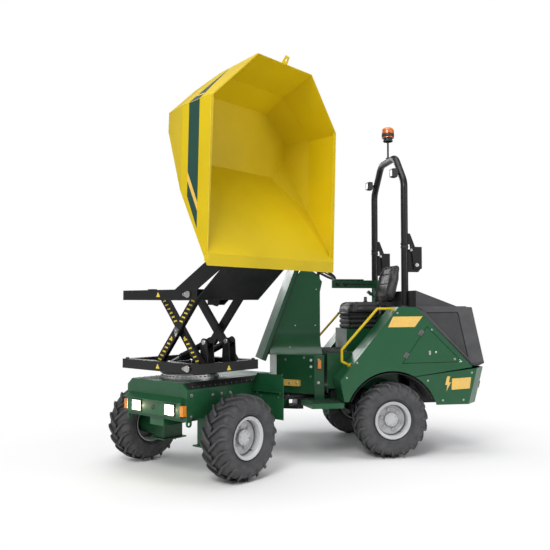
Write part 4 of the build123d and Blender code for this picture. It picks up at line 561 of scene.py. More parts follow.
pads, pad_screws = shapes(2)
PADS, PAD_START, PAD_PITCH = 12, 0.805, 0.064
for side in (1, -1):
    foot, crest = Vector((0, side * 0.387, 0.7617)), Vector((0, side * 0.339, 0.8027))
    width = (crest - foot).length
    climb = (crest - foot) / width
    out = way(front, 0, climb.z * side, -climb.y * side)
    lean = -side
    for i in range(PADS):
        place = stand(front @ (Vector((PAD_START + i * PAD_PITCH, 0, 0)) + foot), front_ahead, out)
        block(pads, place, (0, 0.05), sorted((lean * 0.004, lean * (width - 0.012))), (-0.003, 0.0035))
        block(pads, place, (0.006, 0.018), sorted((lean * 0.006, lean * (width - 0.006))), (0.002, 0.0065))
        add_disc(pad_screws, at(place, 0.036, lean * 0.012, 0.003), out, 0.005, 0.003, 12, 0.004)
rubber_piece("strip_pads", pads, "front_frame", bevel=0.001)
zinc_piece("strip_screws", pad_screws, "front_frame")


# ---------------------------------------------------------------- light bar and mudflaps
# Bent green box with a visor; each opening holds a sealed lamp with six bright cells in a
# black bezel. Amber corner lamps are ribbed plastic. The flaps bolt to a small ledge.
def lens(name, rough, inputs, tone, colours, ridges, bump, limits=None):
    """Moulded plastic between two colours; tone and ridges are each the scale, detail and
    stretch of a noise, and bump is the ridges' strength and distance."""
    material, shader, coords = surface(name, rough)
    share = noise(coords, *tone)
    fill(shader, {"Base Color": blend(spread(share, *limits) if limits else share, *colours), **inputs})
    relief(shader, (noise(coords, *ridges), *bump))
    return material


def bezel(shape, place, half_x, half_y, wide, z):
    """Four bars round an opening, in the x and y of some axes."""
    for sign in (-1, 1):
        block(shape, place, sorted((sign * half_x, sign * (half_x - wide))), (-half_y, half_y), z)
        block(shape, place, (-half_x, half_x), sorted((sign * half_y, sign * (half_y - wide))), z)


lamp_glass, shader, coords = surface("lamp_glass", 0.12)
cells = add_node(shader.id_data, "TexVoronoi", {"Scale": 95.0, "Vector": coords}).outputs["Distance"]
fill(shader, {"Base Color": blend(spread(cells, 0.0, 0.6, 1.0, 0.55), (0.3, 0.31, 0.3), (0.95, 0.95, 0.92)),
              "Emission Color": (1.0, 0.98, 0.88, 1), "Emission Strength": 0.35})
relief(shader, (cells, 0.4, 0.002))
amber_plastic = lens("amber_plastic", 0.22, {"Coat Weight": 0.4, "Subsurface Weight": 0.15,
                                             "Subsurface Radius": (0.01, 0.004, 0.001)},
                     (40.0,), ((0.62, 0.2, 0.012), (0.85, 0.32, 0.03)), (220.0, 3.0, (1, 1, 6)), (0.2, 0.001))
black_plastic = plain("black_plastic", (0.016, 0.016, 0.017), 0.48, grain=500.0)
dress("front_lamps", lamp_glass, bevel=0.003)
LAMP_Y, LAMP_Z = 0.215, 0.584
bezels, cell_rims, corner_lamps = shapes(3)
for side in (1, -1):
    place = stand(at(front, 1.64, side * LAMP_Y, LAMP_Z), way(front, 0, 1, 0), front_ahead)
    bezel(bezels, place, 0.066, 0.05, 0.007, (0, 0.0175))
    for column in (-0.02, 0.02):
        block(cell_rims, place, (column - 0.001, column + 0.001), (-0.043, 0.043), (0.014, 0.0165))
    block(cell_rims, place, (-0.059, 0.059), (-0.001, 0.001), (0.014, 0.0165))
    glow_data = bpy.data.lights.new(f"lamp_glow_{side}", "POINT")
    glow_data.energy = 0.9
    glow_data.color = (1.0, 0.93, 0.6)
    glow_data.shadow_soft_size = 0.03
    add_object(f"lamp_glow_{side}", glow_data).location = at(front, 1.685, side * LAMP_Y, LAMP_Z - 0.01)
blocks(corner_lamps, front, (1.6145, 1.654), (0.3455, 0.384), (0.5415, 0.6265))
for rib in range(7):
    z = 0.546 + rib * 0.0118
    blocks(corner_lamps, front, (1.615, 1.6555), (0.3465, 0.3855), (z, z + 0.0055))
finish_piece("lamp_bezels", bezels, black_plastic, "front_frame", bevel=0.0015)
zinc_piece("lamp_cell_rims", cell_rims, "front_frame", smooth=None)
finish_piece("corner_lamp_covers", corner_lamps, amber_plastic, "front_frame", bevel=0.0012)
socket = bmesh.new()
lathe(socket, at(front, 1.649, 0, LAMP_Z), front_ahead,
      [(0.0, 0.0006), (0.012, 0.0006), (0.014, 0.003), (0.02, 0.003), (0.021, 0.0), (0.0, -0.002)], 28)
finish_piece("light_bar_socket", socket, black_plastic, "front_frame", smooth=35)
FLAP_FACE = 0.82
flap_bolts = bmesh.new()
for side in (1, -1):
    for y, z in ((0.471, 0.639), (0.672, 0.639), (0.427, 0.67), (0.694, 0.67)):
        bolt(flap_bolts, at(front, FLAP_FACE, side * y, z), front_ahead, 0.007)
zinc_piece("flap_bolts", flap_bolts, "front_frame")

# ---------------------------------------------------------------- slew ring
# Machined steel ring with a crossed-roller race, bare and lightly oiled, held down by
# a circle of socket screws on the lower flange.
ring_steel = plain("ring_steel", (0.55, 0.55, 0.54), 0.3, metallic=0.95, spots=0.35, grain=240.0)
dress("slew_ring", ring_steel, bevel=0.0015, smooth=30)
RING_SCREWS, RING_CIRCLE = 36, 0.248
ring_screws, race = shapes(2)
ring_middle = at(front, 1.236, 0, 0)
for spot in circle_points(ring_middle, Vector((1, 0, 0)), Vector((0, 1, 0)), RING_CIRCLE, RING_SCREWS):
    add_disc(ring_screws, spot + up * 0.8255, up, 0.0065, 0.007, 12, 0.0058)
zinc_piece("ring_screws", ring_screws, "front_frame")
lathe(race, ring_middle + up * 0.8445, up,
      [(0.2375, -0.003), (0.2415, -0.003), (0.2425, 0.0), (0.2415, 0.003), (0.2375, 0.003), (0.236, 0.0)], 96)
rubber_piece("ring_seal", race, "front_frame", smooth=40)


# ---------------------------------------------------------------- scissor lift trim
# Teardrop keeper plates, laser-cut and zinc-plated, lock the pins with one bolt each.
# Hazard dashes and blank triangles are vinyl stickers on the black paint.
def arc(place, x, radius, angles, z=0.0):
    """Points at some angles in degrees, round a centre on the x of some axes."""
    return [at(place, x + radius * cos(radians(a)), radius * sin(radians(a)), z) for a in angles]


def keeper(plates, bolts, place, radius, tail, thick):
    """Teardrop plate over a pin's end, its tail along the place's x, with a bolt in the tail."""
    out = way(place, 0, 0, 1)
    slab(plates, arc(place, 0, radius, [70 + i * 220 / 24 for i in range(25)])
         + arc(place, tail, radius * 0.42, (-60, -30, 0, 30, 60)), out * thick)
    add_disc(plates, at(place, 0, 0, thick), out, radius * 0.55, 0.002, 24)
    bolt(bolts, at(place, tail, 0, thick), out, radius * 0.3)


def vinyl(name, colour):
    """Printed sticker film, a little sun-bleached and scuffed."""
    material, shader, coords = surface(name, 0.28)
    faded = tuple(min(1.0, c * 0.85 + 0.05) for c in colour)
    tone = blend(spread(noise(coords, 12.0, 4.0), 0.35, 0.7), colour, faded)
    scuffs = spread(noise(coords, 90.0, 5.0), 0.62, 0.72, 0.0, 0.5)
    fill(shader, {"Base Color": blend(scuffs, tone, tuple(c * 0.5 for c in colour)),
                  "Roughness": spread(noise(coords, 30.0), 0.3, 0.7, 0.23, 0.4)})
    relief(shader, (noise(coords, 180.0), 0.08, 0.0004))
    return material


table_ahead = way(table, 1, 0, 0)
yellow_vinyl = vinyl("yellow_vinyl", (0.82, 0.6, 0.02))
amber_vinyl = vinyl("amber_vinyl", (0.8, 0.5, 0.1))
black_vinyl = vinyl("black_vinyl", (0.02, 0.02, 0.022))
VINYL = 0.0006
ARM_LENGTH = 0.79
ARM_PIN, PIN_END = 0.383, 0.3735
LOWER_PIN_Z, UPPER_PIN_Z = 0.92325, 1.5285
SLIDER = ARM_PIN - (ARM_LENGTH ** 2 - (UPPER_PIN_Z - LOWER_PIN_Z) ** 2) ** 0.5
MID_X, MID_Z = (ARM_PIN + SLIDER) / 2, (LOWER_PIN_Z + UPPER_PIN_Z) / 2
OUTER_FACE, INNER_FACE = 0.275, 0.225

for names, body, (x, y, z), along, size in (
    ("pin_keeper{}_scissor_inner", "scissor_inner", (ARM_PIN, PIN_END, LOWER_PIN_Z), -table_ahead,
     (0.028, 0.046, 0.004)),
    ("pin_keeper{}_scissor_outer", "scissor_outer", (ARM_PIN, PIN_END, UPPER_PIN_Z), -table_ahead,
     (0.028, 0.046, 0.004)),
    ("mid_pin_keeper{}", "scissor_outer", (MID_X, 0.2752, MID_Z), -up, (0.025, 0.042, 0.0018)),
):
    plates, bolts = shapes(2)
    for side, out in sides(table):
        keeper(plates, bolts, stand(at(table, x, side * y, z), along, out), *size)
    zinc_piece(names.format("s"), plates, body, bevel=0.0006)
    zinc_piece(names.format("_bolts"), bolts, body)

# each arm carries six dashes on either side of the middle pin
DASHES, DASH_START, DASH_PITCH = 6, 0.102, 0.045
for body, lean, face in (("scissor_outer", 1, OUTER_FACE), ("scissor_inner", -1, INNER_FACE)):
    dashes = bmesh.new()
    along = (table_ahead * (ARM_PIN - SLIDER) + up * lean * (UPPER_PIN_Z - LOWER_PIN_Z)).normalized()
    for side, out in sides(table):
        tilt = Matrix.Rotation(radians(13 * lean * side), 4, "Z")
        for half in (1, -1):
            for i in range(DASHES):
                centre = at(table, MID_X, side * face, MID_Z) + along * half * (DASH_START + i * DASH_PITCH)
                place = stand(centre, table_ahead, out) @ tilt
                slab(dashes, [at(place, x * 0.0195, y * 0.0065, 0)
                              for x, y in ((-1, -1), (1, -1), (1, 1), (-1, 1))], out * VINYL)
    finish_piece(f"hazard_dashes_{body}", dashes, yellow_vinyl, body)


def triangle(name, spot, out, size, body):
    """Blank yellow warning triangle with a black edge, point up."""
    place = stand(spot, up.cross(out), out)
    turns = [90 + 120 * k + turn for k in range(3) for turn in (-7, 7)]
    for part, scale, finish, lift in (("edge", 1.0, black_vinyl, 0.0), ("face", 0.8, yellow_vinyl, VINYL)):
        shape = bmesh.new()
        slab(shape, arc(place, 0, size * scale, turns, lift), way(place, 0, 0, 1) * VINYL)
        finish_piece(f"{name}_{part}", shape, finish, body)


for (side, out), hand in zip(sides(table), ("left", "right")):
    for name, x, y, z, size, body in (
        ("lower", 0, 0.3645, 0.918, 0.03, "lower_table"), ("upper", 0, 0.3645, 1.525, 0.03, "upper_table"),
        ("outer_arm", 0.072, OUTER_FACE, 1.163, 0.018, "scissor_outer"),
        ("inner_arm", 0.182, INNER_FACE, 1.163, 0.018, "scissor_inner"),
    ):
        triangle(f"triangle_{name}_{hand}", at(table, x, side * y, z), out, size, body)
triangle("triangle_lower_end", at(table, 0.4875, 0, 0.909), table_ahead, 0.03, "lower_table")

# rubber stops and pads between the tables, and the caps over the lift cylinders' trunnions
stops, pad_block, caps = shapes(3)
for x in (-0.455, 0.455):
    for y in (-0.335, 0.335):
        lathe(stops, at(table, x, y, 0.964), up,
              [(0.0, 0.012), (0.012, 0.012), (0.0155, 0.009), (0.0165, 0.0), (0.0, -0.001)], 24)
rubber_piece("table_stops", stops, "lower_table", smooth=35)
blocks(pad_block, table, (-0.155, -0.08), (0.31, 0.352), (1.5705, 1.579))
rubber_piece("upper_table_pads", pad_block, "upper_table", bevel=0.002)
for side in (1, -1):
    for face, out in sides(table):
        lathe(caps, at(table, 0.36, side * 0.13 + face * 0.043, 1.13), out,
              [(0.0, 0.004), (0.02, 0.004), (0.0225, 0.002), (0.0225, -0.001), (0.0, -0.001)], 24)
zinc_piece("trunnion_caps", caps, "lower_table")

# ---------------------------------------------------------------- cylinders
# Black-painted barrels, each with a screwed gland, a wiper and two plugged steel ports.
# The rods are hard-chromed and lightly oiled.
chrome = plain("chrome_rod", (0.62, 0.63, 0.64), 0.12, metallic=1.0, grain=700.0, depth=0.0002)
dress("lift_rods tip_rod steer_rod", chrome, bevel=0.0015, smooth=35)
for body, pivot_joint, stroke, offsets, radius, rod, length, proud in (
    ("lift_barrels", "lift_trunnion", "lift_stroke", (-0.13, 0.13), 0.028, 0.018, 0.35, 0.0035),
    ("tip_barrel", "tip_foot", "tip_stroke", (0.0,), 0.038, 0.022, 0.392, 0.016),
    ("steer_barrel", "steer_foot", "steer_stroke", (0.0,), 0.021, 0.013, 0.47, 0.0035),
):
    foot = Vector(joints[pivot_joint]["pos_m"])
    along = Vector(joints[stroke]["axis"]).normalized()
    hinge = Vector(joints[pivot_joint]["axis"]).normalized()
    port_out = hinge.cross(along).normalized()
    if port_out.z < 0:
        port_out = -port_out
    if body == "steer_barrel":
        port_out = up
    collars, ports = shapes(2)
    for offset in offsets:
        base = foot + hinge * offset
        lathe(collars, base + along * (length - 0.024), along,
              [(rod + 0.0006, 0.024), (rod + 0.004, 0.027), (radius * 0.82, 0.027), (radius + 0.0035, 0.021),
               (radius + 0.0035, 0.003), (radius + 0.001, 0.0), (rod + 0.0006, 0.0)], 40)
        lathe(collars, base, along, [(radius - 0.002, -0.006), (radius + 0.002, -0.004),
                                     (radius + 0.002, 0.004), (radius - 0.002, 0.006)], 40)
        for reach_along in (0.045, length - 0.05):
            spot = base + along * reach_along + port_out * (radius - 0.002)
            lathe(ports, spot, port_out, [(0.0, 0.0), (0.013, 0.0), (0.013, proud * 0.4),
                                          (0.0095, proud * 0.45), (0.0095, proud), (0.0, proud)], 20)
            add_disc(ports, spot + port_out * proud * 0.5, port_out, 0.011, proud * 0.4, 6)
    finish_piece(f"{body}_collars", collars, black_enamel, body, smooth=35)
    zinc_piece(f"{body}_ports", ports, body)

# ---------------------------------------------------------------- skip
# Folded 5 mm plate, welded along its folds. A dark band painted round the outside
# below the rim ends in a slanted point with an amber slash; the corners have welds.
stripe_green = enamel("stripe_green", (0.014, 0.06, 0.045), 0.4, 0.2, 0.05, wear_and_highlight=0.2)
amber_paint = enamel("amber_paint", (0.8, 0.5, 0.1), 0.42, 0.15, 0.1, wear_and_highlight=0.15)
skip_skin = bmesh.new()
skip_skin.from_mesh(frame["nodes"]["skip"].data)
skip_tree = bvhtree.BVHTree.FromBMesh(skip_skin)
SKIP_SIDE = 0.76
RIM_FALL = 0.019 / 1.232


def painted_band(name, quad, finish, lift, along=24):
    """Patch between four skip-local corners, laid on the skip's skin."""
    shape = bmesh.new()
    a, b, c, d = (Vector(corner) for corner in quad)
    rows = []
    for s in [i / along for i in range(along + 1)]:
        row = []
        for t in (0.0, 0.5, 1.0):
            touch, normal = skip_tree.find_nearest(skip_axes @ a.lerp(b, s).lerp(d.lerp(c, s), t))[:2]
            row.append(touch + normal * lift)
        rows.append(row)
    add_faces(shape, rows, closed_rows=False)
    finish_piece(name, shape, finish, "skip")


def slash(name, quad, lift):
    """Amber stroke across the band."""
    painted_band(name, quad, amber_paint, lift, along=4)


for side, hand in ((1, "left"), (-1, "right")):
    def on_side(x, deep):
        """Point of the skip's flat side, the given depth under the rim."""
        return (x, side * 0.7602, 0.2665 - (0.1435 - x) * RIM_FALL - deep)

    def on_chamfer(s, t):
        """Point of the bevelled corner: s from its bend to its back, t from the rim down."""
        return rim_bend.lerp(rim_back, s).lerp(low_bend.lerp(low_back, s), t)

    rim_bend, rim_back = Vector((-1.0885, side * SKIP_SIDE, 0.2475)), Vector((-1.4915, side * 0.33, 0.2955))
    low_bend, low_back = Vector((-1.0485, side * SKIP_SIDE, -0.0535)), Vector((-1.3785, side * 0.39, -0.0675))
    painted_band(f"band_side_{hand}", [on_side(-1.0729, 0.117), on_side(-0.124, 0.117),
                                       on_side(-0.364, 0.23), on_side(-1.0585, 0.23)],
                 stripe_green, 0.0004)
    slash(f"slash_side_{hand}", [on_side(-0.311, 0.115), on_side(-0.247, 0.115),
                                 on_side(-0.481, 0.232), on_side(-0.551, 0.232)], 0.0009)
    painted_band(f"band_chamfer_{hand}", [on_chamfer(0.0, 0.41), on_chamfer(0.97, 0.70),
                                          on_chamfer(0.97, 0.715), on_chamfer(0.0, 0.787)],
                 stripe_green, 0.0006)
    slash(f"slash_chamfer_{hand}", [on_chamfer(0.13, 0.44), on_chamfer(0.17, 0.45),
                                    on_chamfer(0.22, 0.775), on_chamfer(0.18, 0.78)], 0.0012)
skip_skin.free()

# weld beads along the outside folds, a ripple of short hardened pools
WELD, POOL = 0.003, 0.007


def weld(shape, start, end):
    """Bead of overlapping pools between two points."""
    run = end - start
    count = max(2, int(run.length / POOL))
    side = run.orthogonal().normalized()
    other = run.normalized().cross(side)
    loft(shape, [circle_points(start + run * i / (2 * count), side, other, WELD * (1.0 if i % 2 else 0.72), 6)
                 for i in range(2 * count + 1)])


corners = {
    "bend": (-1.0885, 0.76, 0.2475), "back": (-1.4915, 0.33, 0.2955), "front_low": (-0.4025, 0.76, -0.0455),
    "bend_low": (-1.0485, 0.76, -0.0535), "back_low": (-1.3785, 0.39, -0.0675),
    "floor_a": (-0.9015, 0.69, -0.2925), "floor_b": (-1.0365, 0.69, -0.2925),
    "floor_back": (-1.2615, 0.44, -0.2925),
}
beads, lug_nuts = shapes(2)
for side, out in sides(skip_axes):
    spots = {key: at(skip_axes, x, side * y, z) for key, (x, y, z) in corners.items()}
    for a, b in (("bend", "bend_low"), ("back", "back_low"), ("bend_low", "floor_b"),
                 ("back_low", "floor_back"), ("front_low", "floor_a"), ("bend_low", "back_low"),
                 ("floor_b", "floor_back")):
        run = (spots[b] - spots[a]).normalized()
        weld(beads, spots[a] + run * 0.009 - out * 0.0015, spots[b] - run * 0.002)
    lathe(lug_nuts, at(skip_axes, 0, side * 0.3687, 0), out,
          [(0.0, 0.005), (0.024, 0.005), (0.029, 0.002), (0.029, 0.0), (0.0, 0.0)], 32)
finish_piece("skip_welds", beads, yellow_enamel, "skip", smooth=60)
side_bolts(lug_nuts, skip_axes, 0.3735, 0.009, ((0, 0),))
zinc_piece("tip_pin_caps", lug_nuts, "skip")

# ---------------------------------------------------------------- control tower
# Welded green base and a moulded column behind a flanged sheet, with inset screws. The
# head carries a rubber-rimmed wheel, a panel of switches and a small indicator.
rear_left = Vector((0, 1, 0))
BASE_Y = 0.445
wheel_rubber = plain("wheel_rubber", (0.014, 0.014, 0.015), 0.5, grain=420.0)
dress("steering_wheel", wheel_rubber, bevel=0.0015, smooth=40)
dress("lock_bar", amber_paint, bevel=0.002)
screws = bmesh.new()
side_bolts(screws, rear, BASE_Y, 0.009, ((-0.215, 0.91), (-0.215, 0.847), (-0.29, 0.693), (-0.29, 0.91)))
for side, out in sides(rear):
    for x, y, z in ((-0.123, 0.148, 1.236), (-0.06, 0.188, 1.023), (-0.33, 0.148, 1.236),
                    (-0.34, 0.148, 1.6)):
        add_disc(screws, at(rear, x, side * y, z), out, 0.008, 0.0045, 20, 0.006)
zinc_piece("tower_bolts", screws, "rear_frame")

# rubber trim down both edges of the leaning shield, and its screws
SHIELD_X, SHIELD_Z = 0.222, 0.9
lean = Vector((-0.118 - SHIELD_X, 0, 1.806 - SHIELD_Z))
climb = lean.normalized()
shield_out = Vector((climb.z, 0, -climb.x))
edge_trim, shield_bolts = shapes(2)
for side in (1, -1):
    start = at(rear, SHIELD_X, side * 0.201, SHIELD_Z) - shield_out * 0.034
    add_faces(edge_trim, [[start + climb * s + shield_out * a + rear_left * b for a, b in
                           ((-0.004, -0.006), (-0.006, 0.0), (-0.004, 0.006), (0.008, 0.006), (0.008, -0.006))]
                          for s in (0.004, 0.3, 0.6, lean.length - 0.004)])
    for s in (0.08, 0.33, 0.58, 0.86):
        bolt(shield_bolts, at(rear, SHIELD_X, side * 0.17, SHIELD_Z) + climb * s, shield_out, 0.007)
bmesh.ops.holes_fill(edge_trim, edges=edge_trim.edges)
rubber_piece("shield_edge_trim", edge_trim, "rear_frame", smooth=40)
zinc_piece("shield_bolts", shield_bolts, "rear_frame")

indicator = bmesh.new()
for rib in range(8):
    z = 0.834 + rib * 0.0097
    blocks(indicator, rear, (-0.3095, -0.2805), (0.469, 0.4728), (z, z + 0.005))
finish_piece("base_indicator_ribs", indicator, amber_plastic, "rear_frame", bevel=0.0008)

# bolts and lock pins on the slanted left front face of the base
SLANT_X, SLANT_Y = 0.076, 0.195
slant_run = (Vector((-0.25, BASE_Y, 0)) - Vector((SLANT_X, SLANT_Y, 0))).normalized()
slant_out = Vector((slant_run.y, -slant_run.x, 0))
slant_bolts, lock_pins = shapes(2)
for s, z in ((0.1, 0.905), (0.3, 0.93), (0.06, 0.75), (0.37, 0.75)):
    bolt(slant_bolts, at(rear, SLANT_X, SLANT_Y, z) + slant_run * s, slant_out, 0.008)
zinc_piece("slant_bolts", slant_bolts, "rear_frame")
for s in (0.085, 0.162, 0.239):
    lathe(lock_pins, at(rear, SLANT_X, SLANT_Y, 0.6835) + slant_run * s + slant_out * 0.042, slant_out,
          [(0.0, 0.004), (0.009, 0.004), (0.0125, 0.0015), (0.0125, -0.001), (0.0, -0.001)], 24)
zinc_piece("lock_bar_pins", lock_pins, "rear_frame")

# head: sloped panel toward the driver with its switches and key
panel_place = stand(at(rear, -0.392, 0, 1.7), -rear_left, Vector((-0.95, 0, 0.3)))
panel, switches, key_parts = shapes(3)
block(panel, panel_place, (-0.1, 0.1), (-0.045, 0.03), (-0.012, 0.004))
for i in range(4):
    x = -0.066 + i * 0.034
    block(switches, panel_place, (x - 0.011, x + 0.011), (-0.034, -0.006), (0.003, 0.0075))
    block(switches, panel_place, (x - 0.008, x + 0.008), (-0.031, -0.02), (0.007, 0.011))
lathe(key_parts, at(panel_place, 0.074, -0.018, 0.003), way(panel_place, 0, 0, 1),
      [(0.0, 0.006), (0.009, 0.006), (0.0115, 0.004), (0.012, 0.0), (0.0, 0.0)], 24)
block(key_parts, panel_place, (0.0725, 0.0755), (-0.028, -0.008), (0.008, 0.024))
finish_piece("switch_panel", panel, black_plastic, "rear_frame", bevel=0.003)
rubber_piece("switches", switches, "rear_frame", bevel=0.001)
zinc_piece("key_switch", key_parts, "rear_frame", bevel=0.0006)

# steering wheel: soft hub cap over the pressed spokes, and a ribbed gaiter below
dial_tilt = radians(32)
dial_up = Vector((-sin(dial_tilt), 0, cos(dial_tilt)))
dial_spot = at(rear, -0.425, 0, 1.802)
hub_cap = bmesh.new()
lathe(hub_cap, dial_spot, dial_up, [(0.0, 0.0165), (0.02, 0.0155), (0.03, 0.0135), (0.0345, 0.0115),
                                    (0.0345, 0.006), (0.0, 0.006)], 40)
lathe(hub_cap, dial_spot, dial_up, [(0.018, -0.15), (0.029, -0.148), (0.031, -0.13), (0.026, -0.118),
                                    (0.03, -0.105), (0.025, -0.092), (0.028, -0.08), (0.0205, -0.07),
                                    (0.018, -0.072)], 32)
finish_piece("wheel_cap_and_gaiter", hub_cap, wheel_rubber, "rear_frame", smooth=40)

# ---------------------------------------------------------------- deck and steps
# Ribbed rubber mat on the foot deck. The side steps are pressed plate with rows of
# raised, open-topped teeth that grip a boot.
MAT_RIBS, MAT_PITCH = 14, 0.0158
mat = bmesh.new()
block(mat, rear, (-0.622, -0.392), (-0.4, 0.4), (0.9745, 0.9795))
for i in range(MAT_RIBS):
    x = -0.612 + i * MAT_PITCH
    block(mat, rear, (x, x + 0.007), (-0.392, 0.392), (0.979, 0.9825))
rubber_piece("deck_mat", mat, "rear_frame", bevel=0.001)
TOOTH_PITCH = 0.033
teeth = bmesh.new()
for side in (1, -1):
    for row in range(7):
        for column in range(10):
            x = -0.445 + column * TOOTH_PITCH + (TOOTH_PITCH / 2 if row % 2 else 0.0)
            y = 0.49 + row * 0.036
            if x > -0.165 - (y - 0.445) * 0.14 or y > 0.725:
                continue
            lathe(teeth, at(rear, x, side * y, 0.532), up,
                  [(0.0115, -0.001), (0.0085, 0.003), (0.0065, 0.003), (0.0055, -0.001)], 14)
finish_piece("step_teeth", teeth, black_enamel, "rear_frame", smooth=35)

# ---------------------------------------------------------------- seat
# Foam cushion and bolstered backrest in black vinyl, sewn with piping and channels, on a
# moulded rubber bellows. The belt's buckle and reel bolt to the seat's frame.
seat_vinyl, shader, coords = surface("seat_vinyl", 0.46)
pores = add_node(shader.id_data, "TexVoronoi", {"Scale": 420.0, "Vector": coords}).outputs["Distance"]
fill(shader, {"Base Color": blend(spread(noise(coords, 11.0, 5.0), 0.35, 0.7),
                                  (0.013, 0.013, 0.014), (0.03, 0.029, 0.028)),
              "Roughness": spread(noise(coords, 16.0, 4.0), 0.3, 0.7, 0.38, 0.56)})
relief(shader, (pores, 0.25, 0.0008), (noise(coords, 34.0, 4.0), 0.3, 0.0016))
HELD_BELOW, MOST_PUFF = 0.02, 0.012
VOXEL, PUFF_FRAMES = 0.006, 20


def rounded_ring(place, half_x, half_y, corner, z, steps=6):
    """Rounded rectangle in the x and y of some axes."""
    ring = []
    for cx, cy, start in ((1, 1, 0), (-1, 1, 90), (-1, -1, 180), (1, -1, 270)):
        for angle in [radians(start + 90 * i / steps) for i in range(steps + 1)]:
            ring.append(at(place, cx * (half_x - corner) + corner * cos(angle),
                           cy * (half_y - corner) + corner * sin(angle), z))
    return ring


def settle(piece):
    """Keeps the shape that an object's modifiers give it, and drops them."""
    shown = piece.evaluated_get(bpy.context.evaluated_depsgraph_get())
    piece.data = bpy.data.meshes.new_from_object(shown)
    piece.modifiers.clear()


def stuffed(name, place, half_x, half_y, levels, shaping):
    """Foam block lofted through levels of (z, inset, corner), blown up by cloth pressure above
    its held base, then pressed into its sewn shape."""
    shape = bmesh.new()
    loft(shape, [rounded_ring(place, half_x - inset, half_y - inset, corner, z)
                 for z, inset, corner in levels])
    piece = to_object(name, shape)
    grain = piece.modifiers.new("grid", "REMESH")
    grain.mode = "VOXEL"
    grain.voxel_size = VOXEL
    settle(piece)
    start = [vertex.co.copy() for vertex in piece.data.vertices]
    back = place.inverted()
    fixed = piece.vertex_groups.new(name="held")
    fixed.add([i for i, spot in enumerate(start) if (back @ spot).z < HELD_BELOW], 1.0, "REPLACE")
    cloth = piece.modifiers.new("padding", "CLOTH").settings
    cloth.quality = 5
    cloth.use_pressure = True
    cloth.uniform_pressure_force = 4.0
    cloth.effector_weights.gravity = 0.0
    cloth.vertex_group_mass = "held"
    for step in range(1, PUFF_FRAMES + 1):
        bpy.context.scene.frame_set(step)
    settle(piece)
    bpy.context.scene.frame_set(1)
    for vertex, spot in zip(piece.data.vertices, start):
        move = vertex.co - spot
        if move.length > MOST_PUFF:
            move = move.normalized() * MOST_PUFF
        vertex.co = place @ shaping(*(back @ (spot + move)))
    smoother = piece.modifiers.new("smoother", "SUBSURF")
    smoother.levels = smoother.render_levels = 1
    piece.data.materials.clear()
    piece.data.materials.append(seat_vinyl)
    for polygon in piece.data.polygons:
        polygon.use_smooth = True
    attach(piece, "rear_frame")
    return piece


def ramp(value, start, length):
    """0 up to the start, then rising to 1 over a length."""
    return min(1.0, max(0.0, (value - start) / length))


def channel(distance, width, depth):
    """How far a sewn channel pulls the cover in, at a distance from its line."""
    return depth * exp(-(distance / width) ** 2)


def press_cushion(x, y, z):
    if z > 0.045:
        crown = 0.012 * (1 - (x / 0.24) ** 2)
        bolster = 0.012 * ramp(abs(y), 0.13, 0.05)
        fold = channel(abs(y) - 0.15, 0.006, 0.009)
        if abs(y) < 0.15:
            fold += channel(x - 0.02, 0.006, 0.007)
        z += ramp(z, 0.045, 0.03) * (crown + bolster - 0.014 - fold)
    return Vector((x, y, min(z, 0.112)))


def press_back(x, y, z):
    if z > 0.03:
        bolster = 0.02 * ramp(abs(y), 0.12, 0.05)
        lumbar = 0.008 * exp(-((x + 0.08) / 0.07) ** 2)
        fold = channel(abs(y) - 0.14, 0.006, 0.009)
        if abs(y) < 0.14:
            fold += channel(x + 0.02, 0.0055, 0.007) + channel(x - 0.085, 0.0055, 0.007)
        z += ramp(z, 0.03, 0.03) * (bolster + lumbar - 0.02 - fold)
    y *= 1.0 - 0.2 * ramp(x, 0.05, 0.07)
    return Vector((x, y, min(z, 0.092)))


cushion_place = rear @ Matrix.Translation((-0.876, 0, 1.364))
cushion = stuffed("seat_pad", cushion_place, 0.217, 0.239,
                  [(0.002, 0.022, 0.05), (0.006, 0.012, 0.06), (0.03, 0.008, 0.064), (0.07, 0.012, 0.064),
                   (0.086, 0.02, 0.06), (0.093, 0.034, 0.05)], press_cushion)
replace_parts(cushion, "seat_cushion")
back_lean = radians(14)
back_up = Vector((-sin(back_lean), 0, cos(back_lean)))
back_front = Vector((cos(back_lean), 0, sin(back_lean)))
back_place = stand(rear @ (Vector((-1.055, 0, 1.478)) - back_front * 0.0845 + back_up * 0.205),
                   back_up, back_front)
backrest = stuffed("back_pad", back_place, 0.204, 0.229,
                   [(0.001, 0.02, 0.06), (0.006, 0.01, 0.07), (0.03, 0.006, 0.074), (0.062, 0.01, 0.074),
                    (0.076, 0.02, 0.066), (0.082, 0.034, 0.055)], press_back)
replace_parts(backrest, "seat_backrest")


def tube(shape, points, radius, closed=False):
    """Eight-sided tube through points."""
    rows = []
    count = len(points)
    side = None
    for i, point in enumerate(points):
        after = points[(i + 1) % count] if closed or i < count - 1 else point
        before = points[i - 1] if closed or i > 0 else point
        run = (after - before).normalized()
        side = (run.orthogonal() if side is None else side - run * side.dot(run)).normalized()
        rows.append(circle_points(point, side, run.cross(side), radius, 8))
    if closed:
        add_faces(shape, rows, closed_ends=True)
    else:
        loft(shape, rows)


def piping(name, piece, place, half_x, half_y, corner, z):
    """Sewn cord that follows the pad's skin round its edge."""
    skin, cord = shapes(2)
    skin.from_mesh(piece.data)
    skin_tree = bvhtree.BVHTree.FromBMesh(skin)
    edge = rounded_ring(place, half_x, half_y, corner, z, 12)
    tube(cord, [skin_tree.find_nearest(spot)[0] for spot in edge], 0.0032, closed=True)
    skin.free()
    finish_piece(name, cord, seat_vinyl, "rear_frame", smooth=60)


piping("seat_piping", cushion, cushion_place, 0.208, 0.23, 0.06, 0.084)
piping("back_piping", backrest, back_place, 0.197, 0.221, 0.068, 0.073)

